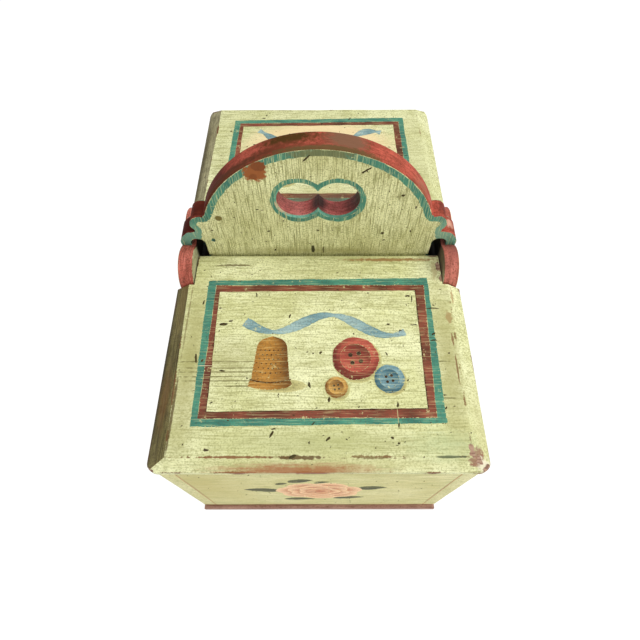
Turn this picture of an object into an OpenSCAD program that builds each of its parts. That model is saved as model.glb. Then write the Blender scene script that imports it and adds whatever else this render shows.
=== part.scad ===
// Sewing carrier with two lids: a long box parted in the middle by an arched
// handle board, with a lid on each side of it. X runs across the box, Y along
// it with the front at -Y, and Z up from the underside of the base board.

/* [Box] */
// Outside width across the two side walls
box_w = 248; // [180:1:320]
// Outside length over the front and back walls
box_l = 405; // [320:1:520]
// Height of the walls above the base board
wall_h = 174; // [110:1:240]
// Thickness of the side walls
side_t = 13; // [9:0.5:18]
// Thickness of the front and back walls
end_t = 13; // [9:0.5:18]

/* [Base board] */
// Thickness of the base board
base_t = 12; // [8:0.5:20]
// How far the base board stands out in front and behind
base_out = 4; // [0:0.5:10]
// Radius of the rounded edge of the base board
base_round = 3; // [1:0.5:3.5]

/* [Handle board] */
// Thickness of the handle board
board_t = 19; // [14:0.5:24]
// Height of the arch above the top of the lids
arch_rise = 116.5; // [85:0.5:150]
// Height of the ends of the arch above the top of the lids
arch_foot = 48; // [44:0.5:60]
// Distance of the ends of the arch from the outside of the box
arch_inset = 27.3; // [20:0.1:40]
// Chamfer along the edges of the arch and of the finger holes
grip_ease = 1.5; // [0.5:0.25:3]
// Radius of each of the two finger holes
finger_r = 18; // [14:0.5:22]
// Distance of each finger hole from the middle of the board
finger_x = 15.8; // [10:0.1:20]
// Drop from the top of the arch to the centres of the finger holes
finger_drop = 52; // [40:0.5:70]
// Radius of the round lobe at the tip of each ear
lobe_r = 15.5; // [10:0.5:18]
// Height of the centre of that lobe above the top of the lids
lobe_z = 12; // [8:0.5:18]
// Radius of the small upper lobe of each ear
upper_r = 9.5; // [6:0.5:12]
// Drop of the centre of the upper lobe below the end of the arch
upper_drop = 11; // [6:0.5:14]
// Distance of that centre outside the end of the arch
upper_out = 4; // [1:0.5:8]
// Radius of the relief bored beside each side wall, under the ear
relief_r = 6.5; // [4:0.25:8]
// Length of the relief between its two centres
relief_l = 15.5; // [6:0.5:24]

/* [Lids] */
// How far a lid stands out over the side walls and over its end wall
lid_over = 3; // [1:0.5:8]
// Thickness of a lid
lid_t = 16; // [12:0.5:20]
// Width of the bevel along the sides of a lid, at its outer end
side_bevel = 15.5; // [8:0.5:18]
// Width of the bevel along the outer edge of a lid
end_bevel = 9; // [5:0.5:14]
// Depth of the bevels below the top of the lid
bevel_drop = 10; // [5:0.5:11]
// How much the depth of the side bevel shrinks towards the hinge
bevel_runout = 2.5; // [0:0.25:4]
// Radius of the outer corners of a lid in plan
lid_corner = 8; // [3:0.5:14]

/* [Hinges] */
// Distance of a hinge pin from the face of the handle board
pin_y = 13.5; // [10:0.5:16]
// Radius of the round shoulder of the side wall about the pin
shoulder_r = 22; // [18:0.5:26]
// Radius of a hinge pin
pin_r = 2; // [1.5:0.25:3]
// Depth that a hinge pin reaches into the lid
pin_reach = 26; // [16:1:40]
// Radius of the head of a hinge pin
pin_head_r = 4; // [3:0.25:5]
// Thickness of the head of a hinge pin
pin_head_t = 1.5; // [1:0.25:2.5]

/* [Nails] */
// Radius of the shank of a nail
nail_r = 1.2; // [0.8:0.1:1.6]
// Length of a nail
nail_l = 38; // [28:1:45]
// Radius of the head of a nail
nail_head_r = 2.6; // [2:0.1:3.5]
// Thickness of the head of a nail
nail_head_t = 1.2; // [0.8:0.1:2]
// Depth of a nail head below the wood around it
nail_sunk = 0.4; // [0.2:0.1:1]
// Number of nails down each corner of the box
corner_nails_n = 3; // [2:1:5]
// Number of nails from the base board into each side wall
base_nails_n = 4; // [2:2:6]

/* [Fits] */
// Gap between a closed lid and the walls under it
lid_gap = 0.3; // [0.2:0.1:1]
// Gap between a lid and the handle board and shoulders beside it
lid_clear = 0.8; // [0.5:0.1:2]
// Radial play of a hinge pin in the lid
pin_play = 0.06; // [0.02:0.01:0.1]
// Radial play of a driven pin or nail in the wood that grips it
drive_play = 0.02; // [0.01:0.01:0.05]

/* [Hidden] */
$fn = 96;
CREAM = "#D9D6A0";
RED = "#A44F43";
IRON = "#5B544C";

eps = 1;                                    // how far a cut runs past a face
board_y = board_t / 2;                      // face of the handle board
wall_top = base_t + wall_h;                 // top of the walls
lid_z = wall_top + lid_gap;                 // underside of a closed lid
lid_top = lid_z + lid_t;                    // top of a closed lid
inner_w = box_w - 2 * side_t;               // width between the side walls
lid_w = box_w + 2 * lid_over;               // width of a lid
lid_l = box_l / 2 + lid_over - board_y;     // length of a lid from the handle board
pin_at = board_y + pin_y;                   // distance of a pin from the middle
pin_z = lid_z + lid_t / 2;                  // height of a pin
pin_l = side_t + lid_clear + pin_reach;     // length from the outer face of the wall
arch_a = box_w / 2 - arch_inset;            // half the span of the arch
arch_h = arch_rise - arch_foot;             // height of the arch over its ends
arch_r = (pow(arch_a, 2) + pow(arch_h, 2)) / (2 * arch_h);
arch_z = lid_top + arch_rise - arch_r;      // centre of the arch
finger_z = lid_top + arch_rise - finger_drop;
// Height where the round shoulders meet the faces of the handle board: the
// ears of the board are seated there
seat_z = pin_z + sqrt(pow(shoulder_r, 2) - pow(pin_y, 2));
lobe_x = box_w / 2 - lobe_r;                // the ears end flush with the walls
upper_x = arch_a + upper_out;
upper_z = arch_foot - upper_drop;
bevel_slope = atan(bevel_drop / side_bevel);

// Places

module mirrored_x() {
    children();
    mirror([1, 0, 0]) children();
}

// Puts a pin or nail that points along +Z so that it enters the side wall of
// the given side (-1 left, 1 right) from outside, pointing inwards
module into_side(side, y, z) {
    translate([side * box_w / 2, y, z]) rotate([0, -side * 90, 0]) children();
}

// Nails that join a side wall to the wall at the front (-1) or back (1)
module at_corner(side, end) {
    step = wall_h / corner_nails_n;
    for (i = [0 : corner_nails_n - 1])
        into_side(side, end * (box_l - end_t) / 2, base_t + (i + 0.5) * step) children();
}

// Nails that join a side wall to the edge of the handle board
module at_board_edge(side) {
    for (share = [0.25, 0.7])
        into_side(side, 0, base_t + share * wall_h) children();
}

// Nails that come up through the base board: along a side wall
module at_base_side(side) {
    step = (box_l - 2 * end_t) / base_nails_n;
    for (i = [0 : base_nails_n - 1])
        translate([side * (box_w - side_t) / 2, (i - (base_nails_n - 1) / 2) * step, 0])
            children();
}

// and across the box under an end wall or under the handle board
module at_base_cross(y) {
    for (side = [-1, 1])
        translate([side * inner_w / 4, y, 0]) children();
}

module at_all_base_nails() {
    for (side = [-1, 1]) at_base_side(side) children();
    for (end = [-1, 0, 1]) at_base_cross(end * (box_l - end_t) / 2) children();
}

module at_pin(side, end) {
    into_side(side, end * pin_at, pin_z) children();
}

// Hardware

// A flat-headed nail or pin along +Z, its head at the start and sunk a little
module headed(r, length, head_r, head_t, sunk, play = 0) {
    start = play > 0 ? -eps : sunk;
    translate([0, 0, start]) cylinder(r = head_r + play, h = sunk + head_t + play - start);
    translate([0, 0, sunk]) cylinder(r = r + play, h = length + play);
}

module nail() {
    headed(nail_r, nail_l, nail_head_r, nail_head_t, nail_sunk);
}

module nail_hole() {
    headed(nail_r, nail_l, nail_head_r, nail_head_t, nail_sunk, drive_play);
}

module hinge_pin() {
    headed(pin_r, pin_l, pin_head_r, pin_head_t, nail_sunk);
}

module hinge_pin_hole() {
    headed(pin_r, pin_l, pin_head_r, pin_head_t, nail_sunk, drive_play);
}

// Box

// A board lying flat whose long edges, along X, are rounded
module rounded_bar(length, width, height, r) {
    rotate([90, 0, 90]) linear_extrude(length, center = true) {
        for (side = [-1, 1], z = [r, height - r])
            translate([side * (width / 2 - r), z]) circle(r);
        translate([-width / 2, r]) square([width, height - 2 * r]);
        translate([r - width / 2, 0]) square([width - 2 * r, height]);
    }
}

module base_board() {
    base_l = box_l + 2 * base_out;
    color(RED) difference() {
        intersection() {
            rounded_bar(box_w, base_l, base_t, base_round);
            rotate([0, 0, 90]) rounded_bar(base_l, box_w, base_t, base_round);
        }
        at_all_base_nails() nail_hole();
    }
}

// The wall at the front (-1) or back (1), held between the side walls
module end_wall(end) {
    difference() {
        translate([-inner_w / 2, end * (box_l - end_t) / 2 - end_t / 2, base_t])
            cube([inner_w, end_t, wall_h]);
        for (side = [-1, 1]) at_corner(side, end) nail_hole();
        at_base_cross(end * (box_l - end_t) / 2) nail_hole();
    }
}

module front_wall() {
    color(CREAM) end_wall(-1);
}

module back_wall() {
    color(CREAM) end_wall(1);
}

// Outline of a side wall seen from the side: a long board whose top rises in
// a round shoulder on each side of the seat of the handle board
module side_outline() {
    translate([-box_l / 2, base_t]) square([box_l, wall_h]);
    for (end = [-1, 1]) {
        translate([end * pin_at, pin_z]) circle(shoulder_r);
        translate([end * pin_at - shoulder_r, wall_top - eps])
            square([2 * shoulder_r, pin_z - wall_top + eps]);
    }
    translate([-board_y, wall_top - eps]) square([board_t, seat_z - wall_top + eps]);
}

module side_wall(side) {
    difference() {
        translate([side * (box_w - side_t) / 2, 0, 0])
            rotate([90, 0, 90]) linear_extrude(side_t, center = true) side_outline();
        for (end = [-1, 1]) {
            at_corner(side, end) nail_hole();
            at_pin(side, end) hinge_pin_hole();
        }
        at_board_edge(side) nail_hole();
        at_base_side(side) nail_hole();
    }
}

module left_wall() {
    color(CREAM) side_wall(-1);
}

module right_wall() {
    color(CREAM) side_wall(1);
}

// Handle board

// One half of the ear: two lobes outside the arch, and the web behind them
module ear_outline() {
    translate([upper_x, lid_top + upper_z]) circle(upper_r);
    translate([lobe_x, lid_top + lobe_z]) circle(lobe_r);
    translate([0, lid_top]) square([lobe_x - 1, upper_z]);
}

// The bored relief under the ear, where the board drops between the walls
module relief_outline() {
    top = lid_top + lobe_z;
    for (z = [top, top - relief_l]) translate([lobe_x, z]) circle(relief_r);
    translate([lobe_x - relief_r, top - relief_l]) square([2 * relief_r, relief_l]);
}

module board_outline() {
    difference() {
        union() {
            translate([-inner_w / 2, base_t]) square([inner_w, seat_z - base_t]);
            intersection() {
                translate([0, arch_z]) circle(arch_r, $fn = 180);
                translate([-arch_r, lid_top]) square([2 * arch_r, 2 * arch_r]);
            }
            intersection() {
                mirrored_x() ear_outline();
                translate([-box_w / 2, seat_z]) square([box_w, box_w]);
            }
        }
        mirrored_x() relief_outline();
        for (side = [-1, 1]) translate([side * finger_x, finger_z]) circle(finger_r);
    }
}

// Ring that takes the sharp edge off the arch, on the face towards +Z
module arch_chamfer() {
    rotate_extrude($fn = 180) polygon([
        [arch_r + eps, -grip_ease - eps],
        [arch_r + eps, eps],
        [arch_r - grip_ease - eps, eps]]);
}

// Both faces of the board, seen as looking along +Z at the face y = -board_y
module on_both_faces() {
    for (turn = [0, 180]) rotate([0, 0, turn])
        translate([0, -board_y, 0]) rotate([90, 0, 0]) children();
}

module handle_board() {
    color(CREAM) difference() {
        rotate([90, 0, 0]) linear_extrude(board_t, center = true) board_outline();
        intersection() {
            on_both_faces() translate([0, arch_z, 0]) arch_chamfer();
            translate([-box_w / 2, -board_t, lid_top + arch_foot])
                cube([box_w, 2 * board_t, box_w]);
        }
        on_both_faces()
            for (side = [-1, 1]) translate([side * finger_x, finger_z, -grip_ease])
                cylinder(r1 = finger_r, r2 = finger_r + grip_ease + eps, h = grip_ease + eps);
        for (side = [-1, 1]) at_board_edge(side) nail_hole();
        at_base_cross(0) nail_hole();
    }
}

// Lids

// Everything below is the front lid; the back lid is the same board turned round

// Plan of the lid: full width in front of the shoulders, and a tongue between
// them that reaches back to the handle board
module lid_plan() {
    front = board_y + lid_l;
    notch = pin_at + shoulder_r + lid_clear;
    tongue_w = inner_w - 2 * lid_clear;
    r = lid_corner;
    mirrored_x() {
        translate([0, -front + r]) square([lid_w / 2, front - r - notch]);
        translate([0, -front]) square([lid_w / 2 - r, 2 * r]);
        translate([lid_w / 2 - r, -front + r]) circle(r);
        translate([0, -notch - eps]) square([tongue_w / 2, notch + eps - board_y - lid_clear]);
    }
}

// Lid seen from the side: rounded at the hinge, bevelled at the outer edge
module lid_side() {
    nose = lid_t / 2;
    front = -board_y - lid_l;
    nose_y = -board_y - lid_clear - nose;
    translate([nose_y, lid_z + nose]) circle(nose);
    polygon([
        [front, lid_z],
        [nose_y, lid_z],
        [nose_y, lid_top],
        [front + end_bevel, lid_top],
        [front, lid_top - bevel_drop]]);
}

// Block that planes off the bevel on the side +X; it rises towards the hinge,
// so the bevel runs narrower there
module side_bevel_cut() {
    rise = atan(bevel_runout / lid_l);
    translate([lid_w / 2, -board_y - lid_l, lid_top - bevel_drop])
        rotate([rise, 0, 0]) rotate([0, bevel_slope, 0])
            translate([-lid_w / 2, -lid_l / 2, 0]) cube([lid_w, 2 * lid_l, lid_t]);
}

module lid() {
    difference() {
        intersection() {
            translate([0, 0, lid_z - eps]) linear_extrude(lid_t + 2 * eps) lid_plan();
            rotate([90, 0, 90]) linear_extrude(lid_w + 2 * eps, center = true) lid_side();
        }
        mirrored_x() side_bevel_cut();
        for (side = [-1, 1]) at_pin(side, -1) cylinder(r = pin_r + pin_play, h = pin_l + lid_clear);
    }
}

module front_lid() {
    color(CREAM) lid();
}

module back_lid() {
    color(CREAM) rotate([0, 0, 180]) lid();
}

// Pins and nails

module front_lid_pin_left() {
    color(IRON) at_pin(-1, -1) hinge_pin();
}

module front_lid_pin_right() {
    color(IRON) at_pin(1, -1) hinge_pin();
}

module back_lid_pin_left() {
    color(IRON) at_pin(-1, 1) hinge_pin();
}

module back_lid_pin_right() {
    color(IRON) at_pin(1, 1) hinge_pin();
}

module front_corner_nails() {
    color(IRON) for (side = [-1, 1]) at_corner(side, -1) nail();
}

module back_corner_nails() {
    color(IRON) for (side = [-1, 1]) at_corner(side, 1) nail();
}

module base_nails() {
    color(IRON) at_all_base_nails() nail();
}

module handle_board_nails() {
    color(IRON) for (side = [-1, 1]) at_board_edge(side) nail();
}

base_board();
front_wall();
back_wall();
left_wall();
right_wall();
handle_board();
front_lid();
back_lid();
front_lid_pin_left();
front_lid_pin_right();
back_lid_pin_left();
back_lid_pin_right();
front_corner_nails();
back_corner_nails();
base_nails();
handle_board_nails();
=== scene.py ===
"""Looks of a hand-painted sewing carrier with two lids.

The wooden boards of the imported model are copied, their arrises eased and their faces cut into a
fine grid, so that wear can follow the edges. The painted lines, panels and flowers are thin films
of paint that lie on the boards. Sizes are in mm unless they say otherwise; meshes are in metres.
"""
import logging
import math
from dataclasses import dataclass, field
from enum import Enum
from functools import lru_cache
from itertools import groupby
from typing import Callable, Iterable, Sequence

import bmesh
import bpy
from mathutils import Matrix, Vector, kdtree, noise


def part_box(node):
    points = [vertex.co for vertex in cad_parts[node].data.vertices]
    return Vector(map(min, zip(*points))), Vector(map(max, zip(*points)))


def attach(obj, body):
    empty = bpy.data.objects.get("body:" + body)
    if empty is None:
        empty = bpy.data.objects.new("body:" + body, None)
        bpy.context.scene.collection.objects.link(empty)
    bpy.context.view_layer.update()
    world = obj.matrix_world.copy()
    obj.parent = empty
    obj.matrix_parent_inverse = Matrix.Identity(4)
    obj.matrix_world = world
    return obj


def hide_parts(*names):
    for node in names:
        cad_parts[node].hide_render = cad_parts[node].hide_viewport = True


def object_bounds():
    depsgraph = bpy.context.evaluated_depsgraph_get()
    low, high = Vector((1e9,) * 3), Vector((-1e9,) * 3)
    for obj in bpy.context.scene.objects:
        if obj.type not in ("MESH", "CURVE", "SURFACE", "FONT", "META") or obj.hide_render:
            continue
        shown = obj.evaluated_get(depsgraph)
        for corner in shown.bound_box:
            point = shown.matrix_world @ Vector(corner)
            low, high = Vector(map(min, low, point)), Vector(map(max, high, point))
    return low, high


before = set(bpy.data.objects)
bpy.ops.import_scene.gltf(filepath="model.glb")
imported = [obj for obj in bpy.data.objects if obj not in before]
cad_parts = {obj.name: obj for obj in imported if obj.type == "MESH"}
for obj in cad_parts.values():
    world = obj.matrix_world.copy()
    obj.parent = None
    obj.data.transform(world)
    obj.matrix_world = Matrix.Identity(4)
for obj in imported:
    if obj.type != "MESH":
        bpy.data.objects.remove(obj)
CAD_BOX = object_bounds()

LOG = logging.getLogger("carrier")
MM = 0.001
NOISE_SEED = 7   # noise vectors start from the clock without one
SAW_DEPTH = 0.22   # how far a hand-planed board is out of true
SAW_STEP = 55.0   # length of its waves
MERGE = 0.004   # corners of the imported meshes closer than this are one
SIDES = (-1, 1)
Socket = bpy.types.NodeSocket
Material = bpy.types.Material
Colour = tuple[float, float, float, float]
Point = tuple[float, float]
Place = tuple[float, float, float]
Dab = tuple[Point, Colour]
Step = tuple[Point, Point]


# Colour and small sums


@lru_cache(maxsize=None)
def linear(code: str) -> Colour:
    """Turns an sRGB hex colour into linear red, green, blue and alpha.

    Args:
        code: six hex digits with or without a leading hash.

    Returns:
        The colour as Blender's sockets take it.
    """
    digits = code.lstrip("#")
    parts = [int(digits[i:i + 2], 16) / 255 for i in (0, 2, 4)]
    flat = [c / 12.92 if c <= 0.04045 else ((c + 0.055) / 1.055) ** 2.4 for c in parts]
    return (flat[0], flat[1], flat[2], 1.0)


def mixed(first: str | Colour, second: str | Colour, share: float) -> Colour:
    """Mixes two colours.

    Args:
        first: hex or linear colour at share 0.
        second: hex or linear colour at share 1.
        share: how much of the second colour, held between 0 and 1.

    Returns:
        The mixed linear colour.
    """
    s = min(max(share, 0.0), 1.0)
    ends = (linear(c) if isinstance(c, str) else c for c in (first, second))
    return tuple(a + (b - a) * s for a, b in zip(*ends))


def wobble(x: float, y: float, size: float, seed: float = 0.0) -> float:
    """Smooth unevenness of a hand-drawn line.

    Args:
        x: first place.
        y: second place.
        size: length of one bump.
        seed: picks another pattern.

    Returns:
        The value there, between about -1 and 1.
    """
    return noise.noise(Vector((x / size, y / size, seed * 7.31)))


def oval(half_width: float, half_height: float) -> Callable[[float], float]:
    """Reach of an oval's outline.

    Args:
        half_width: its reach across.
        half_height: its reach up.

    Returns:
        A function of the angle that gives the reach from the middle.
    """
    return lambda a: half_width * half_height / math.hypot(half_height * math.cos(a),
                                                           half_width * math.sin(a))


def unit(du: float, dv: float) -> Point:
    """Direction of a step.

    Args:
        du: the step across.
        dv: the step up.

    Returns:
        The same with length 1, or nothing if the step is nothing.
    """
    size = math.hypot(du, dv) or 1.0
    return du / size, dv / size


def sawn(place: Vector) -> Vector:
    """Moves a point as far as a hand-planed board is out of true.

    Args:
        place: a point in metres.

    Returns:
        The point moved a little, the same for all that lies there, and kept in the CAD box.
    """
    moved = place + SAW_DEPTH * MM * noise.noise_vector(place / (SAW_STEP * MM))
    low, high = CAD_BOX
    return Vector(min(max(moved[i], low[i]), high[i]) for i in range(3))


def shown(name: str, data: bpy.types.ID) -> bpy.types.Object:
    """Adds an object to the scene.

    Args:
        name: its name.
        data: its mesh, lamp or camera.

    Returns:
        The object, at the origin.
    """
    thing = bpy.data.objects.new(name, data)
    bpy.context.scene.collection.objects.link(thing)
    return thing


def placed(name: str, mesh: bmesh.types.BMesh, finishes: Iterable[Material]) -> bpy.types.Object:
    """Makes a mesh a smooth object of the scene.

    Args:
        name: name of the object.
        mesh: its mesh, which is freed.
        finishes: its materials.

    Returns:
        The object, at the origin.
    """
    data = bpy.data.meshes.new(name)
    for face in mesh.faces:
        face.smooth = True
    mesh.to_mesh(data)
    mesh.free()
    for finish in finishes:
        data.materials.append(finish)
    return shown(name, data)


def hand_in(piece: bpy.types.Object, body: str, slot: str, node: str | None = None) -> None:
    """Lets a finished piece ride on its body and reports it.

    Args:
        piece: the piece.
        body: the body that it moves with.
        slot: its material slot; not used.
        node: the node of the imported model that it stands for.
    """
    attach(piece, body)
    if node:
        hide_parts(node)
    LOG.info("%s: %d faces on %s", piece.name, len(piece.data.polygons), body)


# Materials


class Grain(Enum):
    """Which way the brush and the grain run, as the squeeze of the pattern along each axis."""

    ACROSS = (0.06, 1.0, 1.0)
    ALONG = (1.0, 0.06, 1.0)
    UPRIGHT = (1.0, 1.0, 0.04)
    ROUND_FACE = (0.09, 1.0, 0.09)
    ROUND_SIDE = (1.0, 0.09, 0.09)


class Nodes:
    """A node tree that is filled node by node."""

    def __init__(self, tree: bpy.types.NodeTree) -> None:
        """Empties a tree.

        Args:
            tree: the tree.
        """
        self.tree = tree
        tree.nodes.clear()

    def add(self, kind: str, inputs: dict | None = None, out: int | str = 0,
            **settings: object) -> Socket:
        """Adds a node with its settings and links.

        Args:
            kind: the node's Blender type, which for a shader node goes without its first word.
            inputs: a value or a socket to link, by the input's name or index.
            out: which output to return.
            settings: attributes to set on the node.

        Returns:
            The chosen output socket.
        """
        node = self.tree.nodes.new(kind if "Node" in kind else "ShaderNode" + kind)
        for name, value in settings.items():
            setattr(node, name, value)
        for name, value in (inputs or {}).items():
            if isinstance(value, Socket):
                self.tree.links.new(value, node.inputs[name])
            else:
                node.inputs[name].default_value = value
        return node.outputs[out] if len(node.outputs) else None


class Graph(Nodes):
    """The node tree of one material, with places on the object in mm."""

    def __init__(self, name: str, grain: Grain | None = None) -> None:
        """Starts a material.

        Args:
            name: its name.
            grain: the way its drawn-out patterns run, if it has any.
        """
        self.material = bpy.data.materials.new(name)
        self.material.use_nodes = True
        super().__init__(self.material.node_tree)
        place = self.add("TexCoord", out="Object")
        self.mm = self.add("VectorMath", {0: place, "Scale": 1 / MM}, operation="SCALE")
        if grain:
            self.drawn = self.add("VectorMath", {0: self.mm, 1: grain.value}, operation="MULTIPLY")

    def coat(self, colour: Socket | Colour, *layers: tuple) -> Socket:
        """Lays coats of colour over each other.

        Args:
            colour: the lowest colour.
            layers: each coat's pattern, the values of the pattern at which the coat starts and
                at which it covers most, how much it covers there, and its hex colour or socket.

        Returns:
            The colour seen.
        """
        for pattern, start, full, cover, paint in layers:
            mask = self.add("MapRange", {0: pattern, 1: start, 2: full, 4: cover})
            tone = linear(paint) if isinstance(paint, str) else paint
            colour = self.add("Mix", {"Factor": mask, "A": colour, "B": tone}, "Result",
                              data_type="RGBA")
        return colour

    def finish(self, **inputs: object) -> Material:
        """Links a glossy shader to the material's output.

        Args:
            inputs: the shader's inputs, with lines for the spaces in their names.

        Returns:
            The material.
        """
        named = {name.replace("_", " "): value for name, value in inputs.items()}
        shader = self.add("BsdfPrincipled", named)
        self.add("OutputMaterial", {"Surface": shader})
        return self.material


@dataclass(frozen=True)
class Spot:
    """A worn or stained place on a painted board, or a place of painted shade."""

    at: Place
    reach: Place
    colour: str
    strength: float = 0.8
    ragged: float = 0.5
    soft: float = 0.3
    streaky: float = 0.0

    def coat(self, g: Graph, grit: Socket, fine: Socket) -> tuple:
        """The coat of the spot's colour, with a ragged or streaky rim.

        Args:
            g: the material's nodes.
            grit: the pattern that tears the rim.
            fine: the brush lines.

        Returns:
            The coat, as Graph.coat takes it.
        """
        off = g.add("VectorMath", {0: g.mm, 1: self.at}, operation="SUBTRACT")
        shrunk = g.add("VectorMath", {0: off, 1: self.reach}, operation="DIVIDE")
        torn = g.add("VectorMath", {0: shrunk}, "Value", operation="LENGTH")
        for pattern, share in ((grit, self.ragged), (fine, self.streaky)):
            torn = g.add("Math", {0: pattern, 1: 2 * share, 2: torn}, operation="MULTIPLY_ADD")
        edge = 1.0 + self.ragged + self.streaky
        return torn, edge, edge - self.soft, self.strength, self.colour


@dataclass(frozen=True)
class PaintedWood:
    """Old milk paint on softwood, brushed by hand, with wear down to the wood.

    It gives the eye a dull chalky face with combed brush lines, small dark dents, and brown
    arrises where hands have rubbed the paint off. The brush hairs stood about 1 mm apart, the
    clouds are a hand wide (48 mm) and the blotches a finger wide (11 mm).
    """

    name: str
    paint: str
    light: str
    dark: str
    glaze: str
    grain: Grain = Grain.ACROSS
    streak_mm: float = 1.15
    streaks: float = 0.5
    specks: float = 0.55
    wear: float = 0.5
    dents: float = 0.5
    roughness: float = 0.55
    tinted: bool = False
    sheen: float = 0.3
    spots: tuple[Spot, ...] = ()
    bare_light: str = "#8E5F38"
    bare_dark: str = "#4B2F1B"
    dent_colour: str = "#43361D"

    def ground(self, g: Graph, fine: Socket, broad: Socket) -> Socket:
        """Colour of the sound paint: clouds, broad strokes, combed lines and specks.

        Args:
            g: the material's nodes.
            fine: the brush lines.
            broad: the broad strokes.

        Returns:
            The colour.
        """
        speck = g.add("TexNoise", {"Vector": g.mm, "Scale": 0.75, "Detail": 3.0})
        specked = (speck, 0.48, 0.66, self.specks, self.glaze)
        if self.tinted:
            tint = g.add("Attribute", out="Color", attribute_name="tint")
            shade = g.add("MapRange", {0: fine, 1: 0.32, 2: 0.68, 3: 0.74, 4: 1.2})
            return g.coat(g.add("VectorMath", {0: tint, "Scale": shade}, operation="SCALE"),
                          specked, (fine, 0.53, 0.68, self.streaks, self.paint),
                          (self.rubbed_mask(g, speck), 0, 1, 1, self.paint))
        cloud, patch = (g.add("TexNoise", {"Vector": g.mm, "Scale": 1 / wide, "Detail": 3.0})
                        for wide in (48, 11))
        return g.coat(linear(self.paint), (cloud, 0.38, 0.62, 1, self.light),
                      (patch, 0.48, 0.72, 0.5, self.dark), (broad, 0.5, 0.7, 0.45, self.dark),
                      (fine, 0.5, 0.62, self.streaks, self.glaze),
                      (fine, 0.45, 0.33, 0.7, self.light), specked)

    def rubbed_mask(self, g: Graph, speck: Socket) -> Socket:
        """Where a thin line of paint is rubbed through: at its rim and in scattered patches.

        Args:
            g: the material's nodes.
            speck: the pattern that tears the rim.

        Returns:
            How far the paint is gone.
        """
        rim = g.add("Attribute", out="Fac", attribute_name="rim")
        torn = g.add("Math", {0: speck, 1: 1.6, 2: rim}, operation="MULTIPLY_ADD")
        eaten = g.add("MapRange", {0: torn, 1: 1.72, 2: 1.9, 4: 0.9})
        patch = g.add("TexNoise", {"Vector": g.mm, "Scale": 0.16, "Detail": 5.0, "Roughness": 0.7})
        bare = g.add("MapRange", {0: patch, 1: 0.62, 2: 0.68, 4: 0.7})
        return g.add("Math", {0: eaten, 1: bare}, operation="MAXIMUM")

    def dent_mask(self, g: Graph) -> Socket:
        """Small dents and worm holes, one in every few cells of 9 mm.

        Args:
            g: the material's nodes.

        Returns:
            How far a place lies in a dent.
        """
        squeeze = tuple(0.45 if s < 0.5 else 1.0 for s in self.grain.value)
        lain = g.add("VectorMath", {0: g.mm, 1: squeeze}, operation="MULTIPLY")
        bend = g.add("TexNoise", {"Vector": g.mm, "Scale": 0.55, "Detail": 2.0}, "Color")
        pushed = g.add("VectorMath", {0: bend, 1: (1.7, 1.7, 1.7), 2: lain},
                       operation="MULTIPLY_ADD")
        far = g.add("TexVoronoi", {"Vector": pushed, "Scale": 1 / 9})
        chance = g.add("SeparateColor", {0: far.node.outputs["Color"]})
        size = g.add("MapRange", {0: chance, 1: 1.0 - self.dents, 2: 1.0, 3: 0.0, 4: 0.13})
        inside = g.add("Math", {0: size, 1: far}, operation="SUBTRACT")
        return g.add("MapRange", {0: inside, 1: 0.0, 2: 0.035})

    def wear_mask(self, g: Graph) -> Socket:
        """Paint rubbed off the arrises, in ragged patches.

        Args:
            g: the material's nodes.

        Returns:
            How far the paint is gone.
        """
        worn = g.add("Attribute", out="Fac", attribute_name="arris")
        for scale, detail, share in ((0.7, 5.0, 0.6), (1 / 22, 2.0, 1.5)):
            grit = g.add("TexNoise", {"Vector": g.mm, "Scale": scale, "Detail": detail})
            worn = g.add("Math", {0: grit, 1: share, 2: worn}, operation="MULTIPLY_ADD")
        start = 2.35 - self.wear
        return g.add("MapRange", {0: worn, 1: start, 2: start + 0.1})

    def build(self) -> Material:
        """Mixes the paint.

        Returns:
            The material.
        """
        g = Graph(self.name, self.grain)
        fine = g.add("TexNoise", {"Vector": g.drawn, "Scale": 1 / self.streak_mm, "Detail": 3.0,
                                  "Roughness": 0.6})
        broad = g.add("TexNoise", {"Vector": g.drawn, "Scale": 0.14, "Detail": 2.0})
        grit = g.add("TexNoise", {"Vector": g.mm, "Scale": 0.32, "Detail": 4.0})
        wear, dent = self.wear_mask(g), self.dent_mask(g)
        bare = g.coat(linear(self.bare_dark), (fine, 0, 1, 1, self.bare_light))
        colour = g.coat(self.ground(g, fine, broad), (wear, 0, 1, 1, bare),
                        *(spot.coat(g, grit, fine) for spot in self.spots),
                        (dent, 0, 1, 1, self.dent_colour))
        # Heights are in mm: the brush ridges stand proud, and the worn wood and dents lie deeper
        height = broad
        for mask, tall in ((fine, 0.16), (wear, -0.12), (dent, -0.4)):
            height = g.add("Math", {0: mask, 1: tall, 2: height}, operation="MULTIPLY_ADD")
        rough = g.add("MapRange", {0: fine, 1: 0.3, 2: 0.7, 3: self.roughness - 0.08,
                                   4: self.roughness + 0.12})
        bump = g.add("Bump", {"Strength": 0.8, "Distance": MM, "Height": height})
        return g.finish(Base_Color=colour, Roughness=rough, Normal=bump, IOR=1.46,
                        Specular_IOR_Level=self.sheen)


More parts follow.
